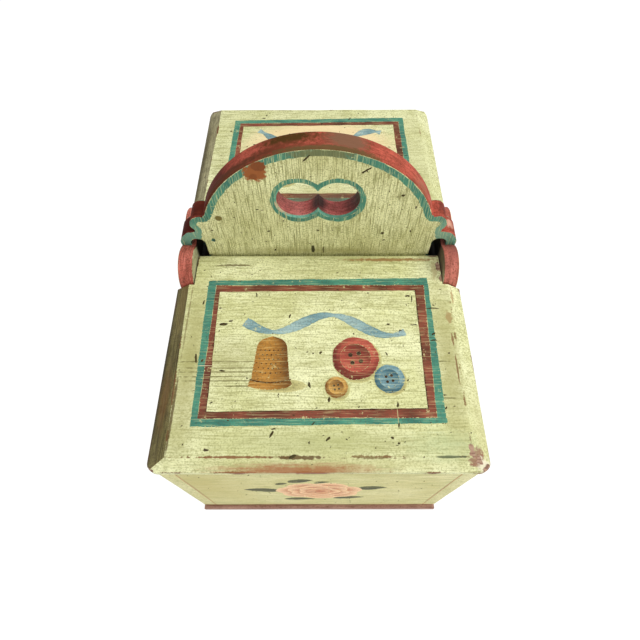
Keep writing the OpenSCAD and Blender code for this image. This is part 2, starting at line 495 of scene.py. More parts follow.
@dataclass(frozen=True)
class BarePine:
    """Unpainted pine, darkened by age, as sawn and planed: yellow-brown with growth lines."""

    name: str
    grain: Grain
    light: str = "#C49A66"
    dark: str = "#9A6C3E"

    def build(self) -> Material:
        """Draws growth lines 2 to 8 mm apart over fibres of 1 mm.

        Returns:
            The material.
        """
        g = Graph(self.name, self.grain)
        swell = g.add("TexNoise", {"Vector": g.drawn, "Scale": 0.03, "Detail": 1.0})
        rings = g.add("Math", {0: swell, 1: 26.0}, operation="MULTIPLY")
        saw = g.add("Math", {0: rings}, operation="FRACT")
        line = g.add("MapRange", {0: saw, 1: 0.35, 2: 1.0, 4: 0.75},
                     interpolation_type="SMOOTHSTEP")
        fibre = g.add("TexNoise", {"Vector": g.drawn, "Scale": 0.9, "Detail": 4.0,
                                   "Roughness": 0.65})
        colour = g.coat(linear(self.light), (line, 0, 1, 1, self.dark),
                        (fibre, 0.48, 0.75, 0.45, "#6F4A2A"))
        bump = g.add("Bump", {"Strength": 0.5, "Distance": 0.2 * MM, "Height": fibre})
        return g.finish(Base_Color=colour, Roughness=0.72, Normal=bump, IOR=1.46)


@dataclass(frozen=True)
class OldIron:
    """Cut iron nail stock with brown rust: dark, dull, with a faint glint where it is rubbed."""

    name: str = "old_iron"

    def build(self) -> Material:
        """Lays blooms of rust about 1.5 mm wide over the iron.

        Returns:
            The material.
        """
        g = Graph(self.name)
        bloom = g.add("TexNoise", {"Vector": g.mm, "Scale": 0.7, "Detail": 5.0})
        rust = g.add("MapRange", {0: bloom, 1: 0.42, 2: 0.6})
        metal, rough = (g.add("MapRange", {0: rust, 3: clean, 4: rusted})
                        for clean, rusted in ((0.85, 0.1), (0.45, 0.85)))
        bump = g.add("Bump", {"Strength": 0.6, "Distance": 0.1 * MM, "Height": bloom})
        return g.finish(Base_Color=g.coat(linear("#57504A"), (rust, 0, 1, 1, "#6B4024")),
                        Metallic=metal, Roughness=rough, Normal=bump)


@dataclass(frozen=True)
class Grime:
    """Dark dirt that has settled in dents: nearly black brown and quite dull."""

    name: str = "grime_in_dents"

    def build(self) -> Material:
        """Mixes lumps of 2 mm.

        Returns:
            The material.
        """
        g = Graph(self.name)
        lumps = g.add("TexNoise", {"Vector": g.mm, "Scale": 0.5})
        return g.finish(Base_Color=g.coat(linear("#1E190B"), (lumps, 0, 1, 1, "#55491F")),
                        Roughness=0.85, IOR=1.4)


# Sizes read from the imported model


@dataclass
class Sizes:
    """Places that the looks need, measured on the imported model."""

    lid_top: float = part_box("front_lid")[1].z / MM
    lid_under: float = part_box("front_lid")[0].z / MM
    lid_half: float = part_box("front_lid")[1].x / MM
    lid_front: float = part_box("front_lid")[0].y / MM
    board_face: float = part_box("handle_board")[1].y / MM
    wall_half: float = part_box("right_wall")[1].x / MM
    inner_half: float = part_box("front_wall")[1].x / MM
    wall_front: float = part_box("front_wall")[0].y / MM


SIZE = Sizes()


@dataclass(frozen=True)
class Face:
    """A flat face that is painted on: a point of it and its across and up directions."""

    origin: Place
    across: Place
    up: Place = (0, 0, 1)

    def at(self, u: float, v: float, height: float) -> Vector:
        """A point on the face.

        Args:
            u: distance across.
            v: distance up.
            height: distance out of the face.

        Returns:
            The point in metres.
        """
        across, up = Vector(self.across), Vector(self.up)
        flat = Vector(self.origin) * MM + (across * u + up * v) * MM
        return sawn(flat) + across.cross(up) * height * MM


LID_TOP = Face((0, 0, SIZE.lid_top), (1, 0, 0), (0, 1, 0))
BOARD_FRONT = Face((0, -SIZE.board_face, 0), (1, 0, 0))
BOARD_BACK = Face((0, SIZE.board_face, 0), (-1, 0, 0))
WALL_FRONT = Face((0, SIZE.wall_front, 0), (1, 0, 0))
WALL_BACK = Face((0, -SIZE.wall_front, 0), (-1, 0, 0))
WALL_LEFT = Face((-SIZE.wall_half, 0, 0), (0, -1, 0))
WALL_RIGHT = Face((SIZE.wall_half, 0, 0), (0, 1, 0))


# Paint films


class Film:
    """Brush strokes of opaque paint, each a closed sliver on a face of a board."""

    THICK = 0.08   # of the first stroke; each later one stands a step higher
    STEP = 0.004
    SUNK = 0.3   # how deep a stroke reaches into the uneven wood
    SHARP = 40   # degrees past which an edge stays sharp

    def __init__(self, name: str, face: Face, body: str) -> None:
        """Starts an empty film.

        Args:
            name: name of its piece.
            face: where it lies.
            body: the body that it moves with.
        """
        self.name, self.face, self.body = name, face, body
        self.mesh = bmesh.new()
        self.tints = self.mesh.verts.layers.float_color.new("tint")
        self.rims = self.mesh.verts.layers.float.new("rim")
        self.level = 0

    def grid(self, rows: Sequence[Sequence[Dab]], ring: bool = False, capped: bool = False,
             firm: bool = False) -> None:
        """Adds a patch of paint as a closed sheet.

        Args:
            rows: the place and colour of each point, row by row.
            ring: whether each row closes on itself.
            capped: whether the first row of a ring is filled in.
            firm: whether the first side of a patch keeps its paint.
        """
        height = self.THICK + self.level * self.STEP
        self.level += 1
        many, last = len(rows[0]), len(rows) - 1
        sides = (many - 1,) if firm else (0, many - 1)
        top, low = [], []
        for sheet, out in ((top, height), (low, -self.SUNK)):
            for i, row in enumerate(rows):
                sheet.append([])
                for j, ((u, v), tint) in enumerate(row):
                    vert = self.mesh.verts.new(self.face.at(u, v, out))
                    vert[self.tints] = tint
                    vert[self.rims] = float(i == last or (i == 0 and not capped)
                                            or (not ring and j in sides))
                    sheet[-1].append(vert)
        new = self.mesh.faces.new
        for j in range(many if ring else many - 1):
            k = (j + 1) % many
            for i in range(last):
                new((top[i][j], top[i][k], top[i + 1][k], top[i + 1][j]))
                new((low[i][j], low[i + 1][j], low[i + 1][k], low[i][k]))
            for i in (last,) if capped else (0, last):
                new((top[i][j], low[i][j], low[i][k], top[i][k]))
        if capped:
            new(top[0])
            new(low[0][::-1])
        for j in () if ring else (0, many - 1):
            for i in range(last):
                new((top[i][j], top[i + 1][j], low[i + 1][j], low[i][j]))

    def stroke(self, path: Sequence[Point], width: Callable[[float], float],
               tint: Callable[[float, float], Colour], across: int = 5) -> None:
        """Adds a brush stroke.

        Args:
            path: the points along its middle.
            width: half the width at a share of the length.
            tint: colour at a share of the length and from -1 to 1 across.
            across: number of points across.
        """
        rows = []
        last = len(path) - 1
        for i, (u, v) in enumerate(path):
            before, after = path[max(i - 1, 0)], path[min(i + 1, last)]
            du, dv = unit(after[0] - before[0], after[1] - before[1])
            t = i / last
            half = width(t) * (1 + 0.12 * wobble(u, v, 4, self.level))
            sides = [2 * j / (across - 1) - 1 for j in range(across)]
            rows.append([((u - dv * half * s, v + du * half * s), tint(t, s)) for s in sides])
        self.grid(rows)

    def blob(self, centre: Point, radius: Callable[[float], float],
             tint: Callable[[float, float, float], Colour], rings: int = 6,
             around: int = 40) -> None:
        """Adds a filled shape that can be seen whole from its centre.

        Args:
            centre: the middle.
            radius: reach of the outline at an angle.
            tint: colour at a share of the reach and at (x, y) from -1 to 1.
            rings: number of rings.
            around: number of points in each ring.
        """
        rows = []
        for i in range(rings + 1):
            share = max(i / rings, 0.06)
            rows.append([])
            for j in range(around):
                a = math.tau * j / around
                x, y = share * math.cos(a), share * math.sin(a)
                place = (centre[0] + radius(a) * x, centre[1] + radius(a) * y)
                rows[-1].append((place, tint(share, x, y)))
        self.grid(rows, ring=True, capped=True)

    def done(self, finish: Material) -> None:
        """Makes the film a piece that rides on its body.

        Args:
            finish: its material, which reads the tint.
        """
        bmesh.ops.recalc_face_normals(self.mesh, faces=self.mesh.faces)
        piece = placed(self.name, self.mesh, [finish])
        piece.data.set_sharp_from_angle(angle=math.radians(self.SHARP))
        hand_in(piece, self.body, "cream_paint")


# Dents


class DentNodes:
    """Geometry Nodes that lay small ragged dents on flat faces and at marked points."""

    INPUTS = {"Dents per square metre": "Float", "Length": "Float", "Width": "Float",
              "Depth": "Float", "Seed": "Int"}
    CHANCES = ((0.25, 1.0, 3), (0.4, 1.0, 5), (0.0, math.pi, 7))   # low, high and seed
    TORN = 2.6   # how far the noise tears the outline of a dent, across
    TORN_SCALE = 0.45

    def __init__(self, finish: Material) -> None:
        """Builds the node group.

        Args:
            finish: material of the dents.
        """
        self.finish = finish
        self.tree = bpy.data.node_groups.new("scattered_dents", "GeometryNodeTree")
        face = self.tree.interface
        face.new_socket("Faces", in_out="INPUT", socket_type="NodeSocketGeometry")
        self.names = {name: face.new_socket(name, in_out="INPUT",
                                            socket_type="NodeSocket" + kind).identifier
                      for name, kind in self.INPUTS.items()}
        face.new_socket("Dents", in_out="OUTPUT", socket_type="NodeSocketGeometry")
        g = Nodes(self.tree)
        given = g.add("NodeGroupInput").node.outputs
        ball = g.add("GeometryNodeMeshIcoSphere", {"Radius": 1.0, "Subdivisions": 2})
        points = g.add("GeometryNodeDistributePointsOnFaces", {
            "Mesh": given["Faces"], "Density": given["Dents per square metre"],
            "Seed": given["Seed"]})
        long, wide, turn = (g.add("FunctionNodeRandomValue", {2: low, 3: high, 8: seed}, 1,
                                  data_type="FLOAT") for low, high, seed in self.CHANCES)
        long, wide = (g.add("Math", {0: share, 1: given[name]}, operation="MULTIPLY")
                      for share, name in ((long, "Length"), (wide, "Width")))
        own = [g.add("GeometryNodeInputNamedAttribute", {"Name": name}, data_type="FLOAT")
               for name in ("long", "wide", "turn")]
        marked = g.add("GeometryNodeMeshToPoints", {"Mesh": given["Faces"], "Selection": own[0]})
        both = g.add("GeometryNodeJoinGeometry")
        for places, sizes in ((points, (long, wide, turn)), (marked, own)):
            g.tree.links.new(g.add("GeometryNodeInstanceOnPoints", {
                "Points": places, "Instance": ball,
                "Rotation": g.add("CombineXYZ", {"Z": sizes[2]}),
                "Scale": g.add("CombineXYZ", {"X": sizes[0], "Y": sizes[1],
                                              "Z": given["Depth"]})}),
                both.node.inputs["Geometry"])
        real = g.add("GeometryNodeRealizeInstances", {"Geometry": both})
        noisy = g.add("TexNoise", {"Vector": g.add("GeometryNodeInputPosition"),
                                   "Scale": self.TORN_SCALE / MM, "Detail": 2.0}, "Color")
        far = self.TORN * MM
        shift = g.add("VectorMath", {0: noisy, 1: (far, far, 0), 2: (-far / 2, -far / 2, 0)},
                      operation="MULTIPLY_ADD")
        torn = g.add("GeometryNodeSetPosition", {"Geometry": real, "Offset": shift})
        done = g.add("GeometryNodeSetMaterial", {"Geometry": torn, "Material": finish})
        g.add("NodeGroupOutput", {"Dents": done})


@dataclass(frozen=True)
class Field:
    """Rectangles of a face that get scattered dents, and the dents seen at known places.

    A rectangle is (left, right, low, high); a dent is (across, up, length, width, turn in
    degrees). The density is in dents per square metre.
    """

    face: Face
    parts: tuple[tuple[float, float, float, float], ...]
    marks: tuple[tuple[float, float, float, float, float], ...] = ()
    density: float = 4200.0
    seed: int = 1


@dataclass
class Dents:
    """The dents of one body, in one mesh."""

    LARGEST = {"Length": 1.0, "Width": 0.42, "Depth": 0.34}   # half the size of a loose dent

    nodes: DentNodes
    name: str
    body: str

    def _flat(self, field: Field) -> bpy.types.Object:
        """Lays the field's rectangles and marks in one plane.

        Args:
            field: where dents lie.

        Returns:
            An object of the scene whose loose points carry the sizes of the marks.
        """
        verts, faces, sizes = [], [], []
        for left, right, low, high in field.parts:
            faces.append(tuple(range(len(verts), len(verts) + 4)))
            verts += [(u * MM, v * MM, 0) for u, v in
                      ((left, low), (right, low), (right, high), (left, high))]
            sizes += [(0.0, 0.0, 0.0)] * 4
        for u, v, long, wide, turn in field.marks:
            verts.append((u * MM, v * MM, 0))
            sizes.append((long * MM / 2, wide * MM / 2, math.radians(turn)))
        data = bpy.data.meshes.new(self.name)
        data.from_pydata(verts, [], faces)
        for i, name in enumerate(("long", "wide", "turn")):
            data.attributes.new(name, "FLOAT", "POINT").data.foreach_set(
                "value", [size[i] for size in sizes])
        return shown(self.name, data)

    def _scattered(self, field: Field) -> bpy.types.Mesh:
        """Runs the nodes on one field.

        Args:
            field: where dents lie.

        Returns:
            The dents, still in one plane.
        """
        flat = self._flat(field)
        modifier = flat.modifiers.new("dents", "NODES")
        modifier.node_group = self.nodes.tree
        values = {name: half * MM for name, half in self.LARGEST.items()}
        values.update({"Dents per square metre": field.density, "Seed": field.seed})
        for name, value in values.items():
            modifier[self.nodes.names[name]] = value
        graph = bpy.context.evaluated_depsgraph_get()
        mesh = bpy.data.meshes.new_from_object(flat.evaluated_get(graph), depsgraph=graph)
        flat.modifiers.remove(modifier)
        bpy.data.objects.remove(flat)
        return mesh

    def build(self, fields: Sequence[Field]) -> None:
        """Makes the dents of all the body's fields.

        Args:
            fields: where they lie.
        """
        whole = bmesh.new()
        for field in fields:
            mesh = self._scattered(field)
            for vert in mesh.vertices:
                vert.co = field.face.at(*(vert.co / MM))
            whole.from_mesh(mesh)
            bpy.data.meshes.remove(mesh)
        for face in whole.faces:
            face.material_index = 0
        hand_in(placed(self.name, whole, [self.nodes.finish]), self.body, "cream_paint")


# Boards


@dataclass(frozen=True)
class Chip:
    """A splinter broken off a board: its middle and its reach."""

    at: Place
    reach: Place

    def lump(self, mesh: bmesh.types.BMesh) -> None:
        """Adds the chip to a mesh as a closed ragged lump.

        Args:
            mesh: the mesh of all the chips.
        """
        made = bmesh.ops.create_icosphere(mesh, subdivisions=3, radius=1.0)
        for vert in made["verts"]:
            place = vert.co.copy()
            torn = 1.0 + 0.55 * noise.noise(place * 2.1 + Vector(self.at))
            vert.co = Vector(self.at[i] + place[i] * self.reach[i] * torn for i in range(3)) * MM


@dataclass
class Board:
    """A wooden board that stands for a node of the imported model.

    Its arrises are rounded by the ease and its faces cut into cells of the pitch. Sharp outlines
    no larger than the small size, those of bores, stay as they are.
    """

    FLAT = math.radians(0.4)   # faces that turn less than this are one
    ARRIS = math.radians(25)   # an edge that turns more is an arris
    SLIGHT = math.radians(8)   # the same for a board without arrises
    CREASE = math.radians(38)   # an edge that turns more is not shaded smooth
    STEP = 1.5   # between the points that stand for an arris
    REACH = 5.0   # how far from an arris the wear goes

    node: str
    body: str
    finishes: tuple[Material, ...]
    choose: Callable[[Vector, Vector], int]
    ease: float = 0.9
    pitch: float = 4.0
    slot: str = "cream_paint"
    chips: tuple[Chip, ...] = ()
    small: float = 12.0

    def _arrises(self, mesh: bmesh.types.BMesh) -> list[bmesh.types.BMEdge]:
        """Finds the arrises, apart from those of nail and pin holes.

        Args:
            mesh: the board's mesh.

        Returns:
            The sharp edges of every outline that is large enough.
        """
        sharp = [e for e in mesh.edges
                 if len(e.link_faces) == 2 and e.calc_face_angle() > self.ARRIS]
        free, chosen = set(sharp), []
        for start in sharp:
            if start not in free:
                continue
            free.remove(start)
            group = [start]
            for edge in group:
                for other in (e for vert in edge.verts for e in vert.link_edges if e in free):
                    free.remove(other)
                    group.append(other)
            ends = zip(*(vert.co for edge in group for vert in edge.verts))
            if max(max(places) - min(places) for places in ends) > self.small * MM:
                chosen += group
        return chosen

    def _samples(self, edges: Iterable[bmesh.types.BMEdge]) -> kdtree.KDTree:
        """Sets points along edges.

        Args:
            edges: the edges.

        Returns:
            A search tree of the points.
        """
        points = []
        for edge in edges:
            a, b = (v.co.copy() for v in edge.verts)
            many = max(1, int((b - a).length / (self.STEP * MM)))
            points += [a.lerp(b, i / many) for i in range(many + 1)]
        tree = kdtree.KDTree(len(points))
        for i, point in enumerate(points):
            tree.insert(point, i)
        tree.balance()
        return tree

    def _cut_grid(self, mesh: bmesh.types.BMesh) -> None:
        """Cuts the large faces into cells of the board's pitch.

        Args:
            mesh: the board's mesh.
        """
        low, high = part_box(self.node)
        size = high - low
        thin = min(range(3), key=lambda i: size[i])
        for axis in (i for i in range(3) if i != thin):
            many = round(size[axis] / (self.pitch * MM))
            normal = Vector(float(i == axis) for i in range(3))
            for i in range(1, many):
                where = low + normal * (size[axis] * i / many)
                bmesh.ops.bisect_plane(mesh, geom=mesh.verts[:] + mesh.edges[:] + mesh.faces[:],
                                       dist=1e-6, plane_co=where, plane_no=normal)

    def _carve(self, piece: bpy.types.Object) -> None:
        """Breaks the chips off, which bares the last finish.

        Args:
            piece: the board's object.
        """
        lumps = bmesh.new()
        for chip in self.chips:
            chip.lump(lumps)
        cutter = placed("chips", lumps, [self.finishes[-1]])
        modifier = piece.modifiers.new("chips", "BOOLEAN")
        modifier.operation = "DIFFERENCE"
        modifier.solver = "EXACT"
        modifier.material_mode = "TRANSFER"
        modifier.object = cutter
        graph = bpy.context.evaluated_depsgraph_get()
        carved = bpy.data.meshes.new_from_object(piece.evaluated_get(graph), depsgraph=graph)
        piece.modifiers.remove(modifier)
        bpy.data.objects.remove(cutter)
        piece.data = carved

    def make(self) -> None:
        """Builds the board, riding on its body in place of the node."""
        mesh = bmesh.new()
        mesh.from_mesh(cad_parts[self.node].data)
        bmesh.ops.remove_doubles(mesh, verts=mesh.verts, dist=MERGE * MM)
        bmesh.ops.dissolve_limit(mesh, angle_limit=self.FLAT, verts=mesh.verts, edges=mesh.edges)
        arrises = self._arrises(mesh)
        tree = self._samples(arrises or [e for e in mesh.edges if e.is_manifold
                                         and e.calc_face_angle() > self.SLIGHT])
        bmesh.ops.bevel(mesh, geom=arrises, offset=self.ease * MM, offset_type="OFFSET",
                        segments=3, profile=0.5, affect="EDGES", clamp_overlap=True)
        self._cut_grid(mesh)
        layer = mesh.verts.layers.float.new("arris")
        for vert in mesh.verts:
            vert[layer] = max(0.0, 1.0 - tree.find(vert.co)[2] / (self.REACH * MM))
            vert.co = sawn(vert.co)
        for face in mesh.faces:
            face.material_index = self.choose(face.normal, face.calc_center_median() / MM)
        piece = placed(self.node + "_painted", mesh, self.finishes)
        if self.chips:
            self._carve(piece)
        piece.data.set_sharp_from_angle(angle=self.CREASE)
        hand_in(piece, self.body, self.slot, self.node)


# Paints


class Paints:
    """Every finish of the carrier, made once."""

    CREAM = dict(paint="#D3D49A", light="#E6E7B6", dark="#B8B87C", glaze="#85824A")
    RED = dict(paint="#9E4C3B", light="#C45E4C", dark="#6E3527", glaze="#5A3020")
    TEAL, TEAL_DARK = "#4F9077", "#3A7466"
    BAND_RED, BAND_RED_DARK = "#8C4A38", "#5C3325"

    def __init__(self) -> None:
        """Mixes the paints."""
        self.lids()
        self.bevels()
        self.walls()
        self.handle_faces()
        self.handle_edges()
        self.lines()
        self.pine_across = BarePine("aged_pine_end_walls_and_lids", Grain.ACROSS).build()
        self.pine_along = BarePine("aged_pine_side_walls_and_base", Grain.ALONG).build()
        self.pine_upright = BarePine("aged_pine_divider", Grain.UPRIGHT).build()
        self.chipped = BarePine("splintered_pine", Grain.ACROSS, "#A98A72", "#6E4638").build()
        self.iron = OldIron().build()
        self.grime = Grime().build()

    def cream(self, name: str, grain: Grain, **more: object) -> Material:
        """Mixes a cream paint.

        Args:
            name: what it is for.
            grain: which way it is brushed.
            more: settings that differ from the usual cream.

        Returns:
            The material.
        """
        return PaintedWood("milk_paint_cream_" + name, grain=grain, **{**self.CREAM, **more}).build()

    def red(self, name: str, grain: Grain, **more: object) -> Material:
        """Mixes a brick red paint.

        Args:
            name: what it is for.
            grain: which way it is brushed.
            more: settings that differ from the usual red.

        Returns:
            The material.
        """
        return PaintedWood("milk_paint_brick_red_" + name, grain=grain,
                           **{**self.RED, **more}).build()

    def lids(self) -> None:
        """The creams of the two lids, with the stains, wear and painted shade seen on them."""
        top, front, half = SIZE.lid_top, SIZE.lid_front, SIZE.lid_half
        soiled_sides = (
            Spot((-104, -120, top), (16, 110, 3), "#A09B60", 0.75, 0.3, 0.9, 0.5),
            Spot((105, -120, top), (16, 110, 3), "#A09B60", 0.75, 0.3, 0.9, 0.6),
            Spot((0, -186, top), (110, 14, 3), "#A8AA70", 0.6, 0.3, 0.9, 0.5),
            Spot((0, front + 5, top - 6), (130, 8, 12), "#A9A466", 0.6, 0.3, 0.9, 0.6),
            Spot((-16, front + 1, top - 8.5), (76, 10, 6.5), "#96582C", 0.85, 0.3, 0.7, 0.6),
            Spot((-half + 16, -165, top), (1.3, 44, 3), "#55431C", 0.85, 0.5, 0.4),
            Spot((-half + 16, -80, top), (0.9, 50, 3), "#6B5A2E", 0.6, 0.8, 0.5))
        scratches = tuple(
            Spot((u, v, top), (long, 0.7, 3), "#625C2C", 0.75, 0.9, 0.4) for u, v, long in (
                (-82, -121, 40), (-74, -126.5, 46), (-70, -130, 52), (-84, -134, 34),
                (-72, -137.5, 44), (-60, -142, 30), (99, -152, 8), (98, -121, 9)))
        worn_rims_and_shade_line = (
            Spot((half - 4, -170, top - 6), (14, 60, 14), "#BDB984", 0.5, 0.3, 0.9, 0.6),
            # Painted shade: a thin dark line along the foot of the front lid's front edge, where it
            # overhangs the wall.
            Spot((0, front, SIZE.lid_under), (125, 4, 1.3), "#767D58", 0.75, 0.4, 0.9, 0.2),
            Spot((-60, front + 9, top), (34, 1.0, 2), "#7A4A28", 0.9, 0.9),
            Spot((-14, front + 8.6, top), (22, 1.6, 2.4), "#5D4420", 0.9, 0.9),
            Spot((40, front + 8.2, top), (24, 1.1, 2), "#6E5A30", 0.8, 1.0),
            Spot((66, -19, top), (52, 2.2, 4), "#8E6636", 0.85, 0.8, 0.5, 0.3),
            Spot((104, -30, top), (3, 12, 3), "#B0A070", 0.6, 0.9, 0.4),
            Spot((117, -197, top - 3), (8, 9, 6), "#8A5B48", 0.9, 0.9, 0.3),
            Spot((122, -202, top - 6), (7, 7, 6), "#E3DCC0", 0.8, 0.9, 0.3),
            Spot((124.5, -204, top - 9), (5, 4, 4), "#74493A", 0.9, 0.9, 0.3),
            Spot((-76, -25, top), (18, 1.2, 3), "#5E4F28", 0.8, 0.8),
            Spot((-72, -120, top), (30, 26, 4), "#A09A62", 0.35, 0.4, 0.9, 0.6),
            Spot((92, -188, top - 2), (36, 16, 6), "#A9B98A", 0.5, 0.4, 0.9, 0.4),
            Spot((96, -196.5, top), (14, 0.9, 3), "#3E4A30", 0.8, 0.5),
            Spot((half - 16.2, -128, top), (0.9, 15, 3), "#7E6038", 0.9, 0.4),
            Spot((half - 16.2, -101, top), (1.1, 6, 3), "#7E6038", 0.9, 0.7),
            Spot((half - 16.5, -80, top), (3.0, 6, 3), "#A08A58", 0.9, 0.8),
            Spot((half - 10, -58, top - 3), (1.4, 8, 5), "#A88C5A", 0.8, 0.8))
        self.front_lid = self.cream("front_lid", Grain.ACROSS, wear=0.36,
                                    spots=soiled_sides + scratches + worn_rims_and_shade_line)
        self.back_lid = self.cream("back_lid", Grain.ACROSS, wear=0.3, spots=(
            Spot((104, 100, top), (20, 120, 3), "#B9B880", 0.45, 0.3, 0.9, 0.5),
            Spot((0, 132, top), (92, 50, 3), "#EFD2A2", 0.75, 0.1, 0.3, 0.1),
            Spot((0, 52, top), (70, 26, 3), "#C2BC86", 0.6, 0.3, 0.6, 0.5),
            Spot((35, -front - 3, top - 7), (55, 6, 5), "#9C5A2C", 0.6, 0.5, 0.7, 0.4)))

    def bevels(self) -> None:
        """The creams of the bevels at the left of the lids, soiled and darkened with painted shade.
        """
        top, half = SIZE.lid_top, SIZE.lid_half
        mix = dict(grain=Grain.ALONG, streaks=0.55, specks=0.5, wear=0.4, dents=0.5,
                   dark="#4C4020", glaze="#352B12")
        # Both left bevels are darkened partly by dirt and partly as painted shade, since they face
        # away from the key lamp.
        soiled_and_shaded = (0.8, 0.15, 0.5, 0.2)
        self.front_bevel = self.cream(
            "soiled_and_shaded_front_bevel", paint="#6A6133", light="#857B4B", **mix, spots=(
                Spot((-half, -110, top - 12), (5, 130, 10), "#3A3014", *soiled_and_shaded),
                Spot((-half + 7, -150, top - 6), (7, 34, 8), "#6A4519", 0.6, 0.3, 0.6, 0.6),
                Spot((-half + 9, -60, top - 5), (6, 40, 8), "#7C6A38", 0.6, 0.3, 0.6, 0.6)))
        self.back_bevel = self.cream(
            "soiled_and_shaded_back_bevel", paint="#A0986E", light="#B3AC82", **mix, spots=(
                Spot((-half, 100, top - 12), (9, 130, 12), "#4A401E", *soiled_and_shaded),))

    def walls(self) -> None:
        """The creams of the four walls and the red of the shoulders and base, with painted shade
        below the lids and inside the shoulders.
        """
        low, side, end = SIZE.lid_under, SIZE.inner_half, SIZE.wall_front
        seams = tuple(Spot((x * side, y * end, 100), (1.5, 5, 92), "#6E6743", 0.85, 0.2, 1.2, 0.3)
                      for x in SIDES for y in SIDES)
        plain = dict(paint="#D0C98C", light="#DCD6A0", streaks=0.4)
        self.walls_across = self.cream(
            "end_walls", Grain.ACROSS, **plain, specks=0.35, dents=0.35, wear=0.05, sheen=0.15,
            spots=(Spot((-104, end, 120), (60, 9, 110), "#B5A860", 0.6, 0.1, 0.9, 0.4),
                   Spot((40, end, 176), (90, 6, 14), "#B9AE6C", 0.5, 0.3, 0.9, 0.6),
                   # Painted shadow: a thin dark line along the top of the end walls, just below the
                   # lids.
                   Spot((0, end, low), (140, 5, 3.4), "#5E5A38", 0.85, 0.2, 0.7, 0.2), *seams))
        self.walls_along = self.cream("side_walls", Grain.ALONG, **plain, specks=0.3, dents=0.4,
                                      wear=0.1, spots=seams)
        # The shoulders' insides are a greyed cream with painted shade: darker on the right one and
        # nearly black in the gaps beside the handle board.
        self.shoulder_inside = self.cream(
            "shoulder_insides", Grain.ALONG, paint="#B3B190", light="#C6C4A4", dark="#8A8768",
            spots=(Spot((side, 0, low + 10), (10, 46, 46), "#5C4E40", 0.95, 0.1, 0.3, 0.1),
                   *(Spot((x * side, 0, low + 18), (9, 14, 30), "#17130A", 1.0, 0.1, 0.3)
                     for x in SIDES)))
        self.red_shoulder = self.red(
            "shoulders", Grain.ROUND_SIDE, sheen=0.2, paint="#B45C4B", light="#C87766",
            streaks=0.45, specks=0.65, wear=0.1, dents=0.4, spots=(
                Spot((SIZE.wall_half, -8, low + 22), (16, 30, 34), "#7C4A42", 0.7, 0.2, 0.6, 0.3),))
        self.red_base = self.red("base", Grain.ACROSS, paint="#9C7260", light="#B08874",
                                 dark="#7F5846", streaks=0.4, dents=0.35, wear=0.2)

    def handle_faces(self) -> None:
        """The cream of the handle board's faces, and the bare patch that its edge shares."""
        board, top = -SIZE.board_face, SIZE.lid_top
        self.bare_patch = (
            Spot((-47.5, board, top + 93.5), (9.5, 6, 8.5), "#96552A", 1.0, 0.55, 0.18),
            Spot((-44, board, top + 100), (6.5, 6, 5), "#7E4420", 1.0, 0.55, 0.18),
            Spot((-49, board, top + 90), (4, 6, 3), "#7A421C", 0.7, 0.6, 0.3))
        self.handle = self.cream(
            "handle_board", Grain.UPRIGHT, paint="#D2D097", light="#E8E7B2", dark="#B7B47A",
            glaze="#7B7840", streak_mm=0.8, streaks=0.8, specks=0.6, wear=0.2, spots=(
                Spot((-84, board, top + 45), (3.6, 4, 3.6), "#6D5F28", 0.95, 0.2),
                # Painted shade: darker along the foot of the board, where it meets the lids.
                Spot((0, board, top + 2), (104, 4, 7), "#8A8448", 0.6, 0.3, 0.9, 0.5),
                Spot((-5, board, top + 4), (1.9, 4, 6), "#2E2A12", 0.95, 0.3),
                Spot((4.5, board, top + 3), (1.1, 4, 5), "#4A431E", 0.8, 0.4),
                *self.bare_patch))

    def handle_edges(self) -> None:
        """The paints of the handle board's edge, finger holes and coves, with painted shade on their
        shaded sides and in the gaps.
        """
        top = SIZE.lid_top
        self.red_edge = self.red(
            "edges", Grain.ROUND_FACE, streaks=0.45, dents=0.35, sheen=0.08, roughness=0.7,
            wear=0.15, spots=(
                Spot((-20, 4, top + 113), (34, 9, 11), "#46300F", 0.95, 0.7, 0.6, 0.5),
                Spot((-30, -6, top + 110), (44, 8, 12), "#6A3522", 0.95, 0.5, 0.7, 0.5),
                Spot((21, 2, top + 113), (21, 14, 10), "#775540", 0.95, 0.3, 0.5, 0.2),
                Spot((78, -4, top + 68), (16, 10, 20), "#93644A", 0.8, 0.5, 0.8, 0.4),
                # Painted shade on the left-facing arch.
                Spot((-86, 0, top + 56), (42, 20, 58), "#5A2417", 1.0, 0.2, 0.5, 0.3),
                Spot((-62, -7, top + 84), (50, 7, 40), "#52301E", 0.9, 0.4, 0.5, 0.5),
                # Painted shade on the left ear's side.
                Spot((-110, 0, top + 22), (26, 18, 30), "#44170F", 1.0, 0.3, 0.5, 0.3),
                Spot((8, -9, top + 112), (52, 4, 12), "#5E4A2C", 0.9, 0.5, 0.4, 0.6),
                Spot((116, 2, top + 26), (9, 6, 8), "#D8A990", 0.8, 0.6, 0.7, 0.3),
                Spot((106, 2, top + 44), (9, 12, 9), "#5A2A22", 0.8, 0.6, 0.7, 0.3),
                # Painted shade: nearly black at the foot of each ear, in the gap above the lids.
                *(Spot((side * 106, 0, top + 4), (9, 14, 11), "#241C12", 0.9, 0.2, 0.5)
                  for side in SIDES), *self.bare_patch))
        # The finger holes are a lighter red, with dark painted shade mostly on the right-hand wall
        # of each hole.
        self.red_hole = self.red(
            "finger_holes", Grain.ROUND_FACE, paint="#C9605A", light="#E08A80", streaks=0.3,
            wear=0.1, dents=0.2, spots=(
                Spot((24, 3, top + 52), (16, 20, 14), "#4A2018", 0.6, 0.15, 0.9),
                Spot((38, 3, top + 66), (21, 22, 34), "#2A120B", 0.97, 0.15, 0.6),
                Spot((0.5, 3, top + 54), (9, 20, 26), "#3A1A12", 0.95, 0.15, 0.6),
                Spot((-33, 9, top + 64), (9, 6, 12), "#5C2A20", 0.8, 0.15, 0.6)))
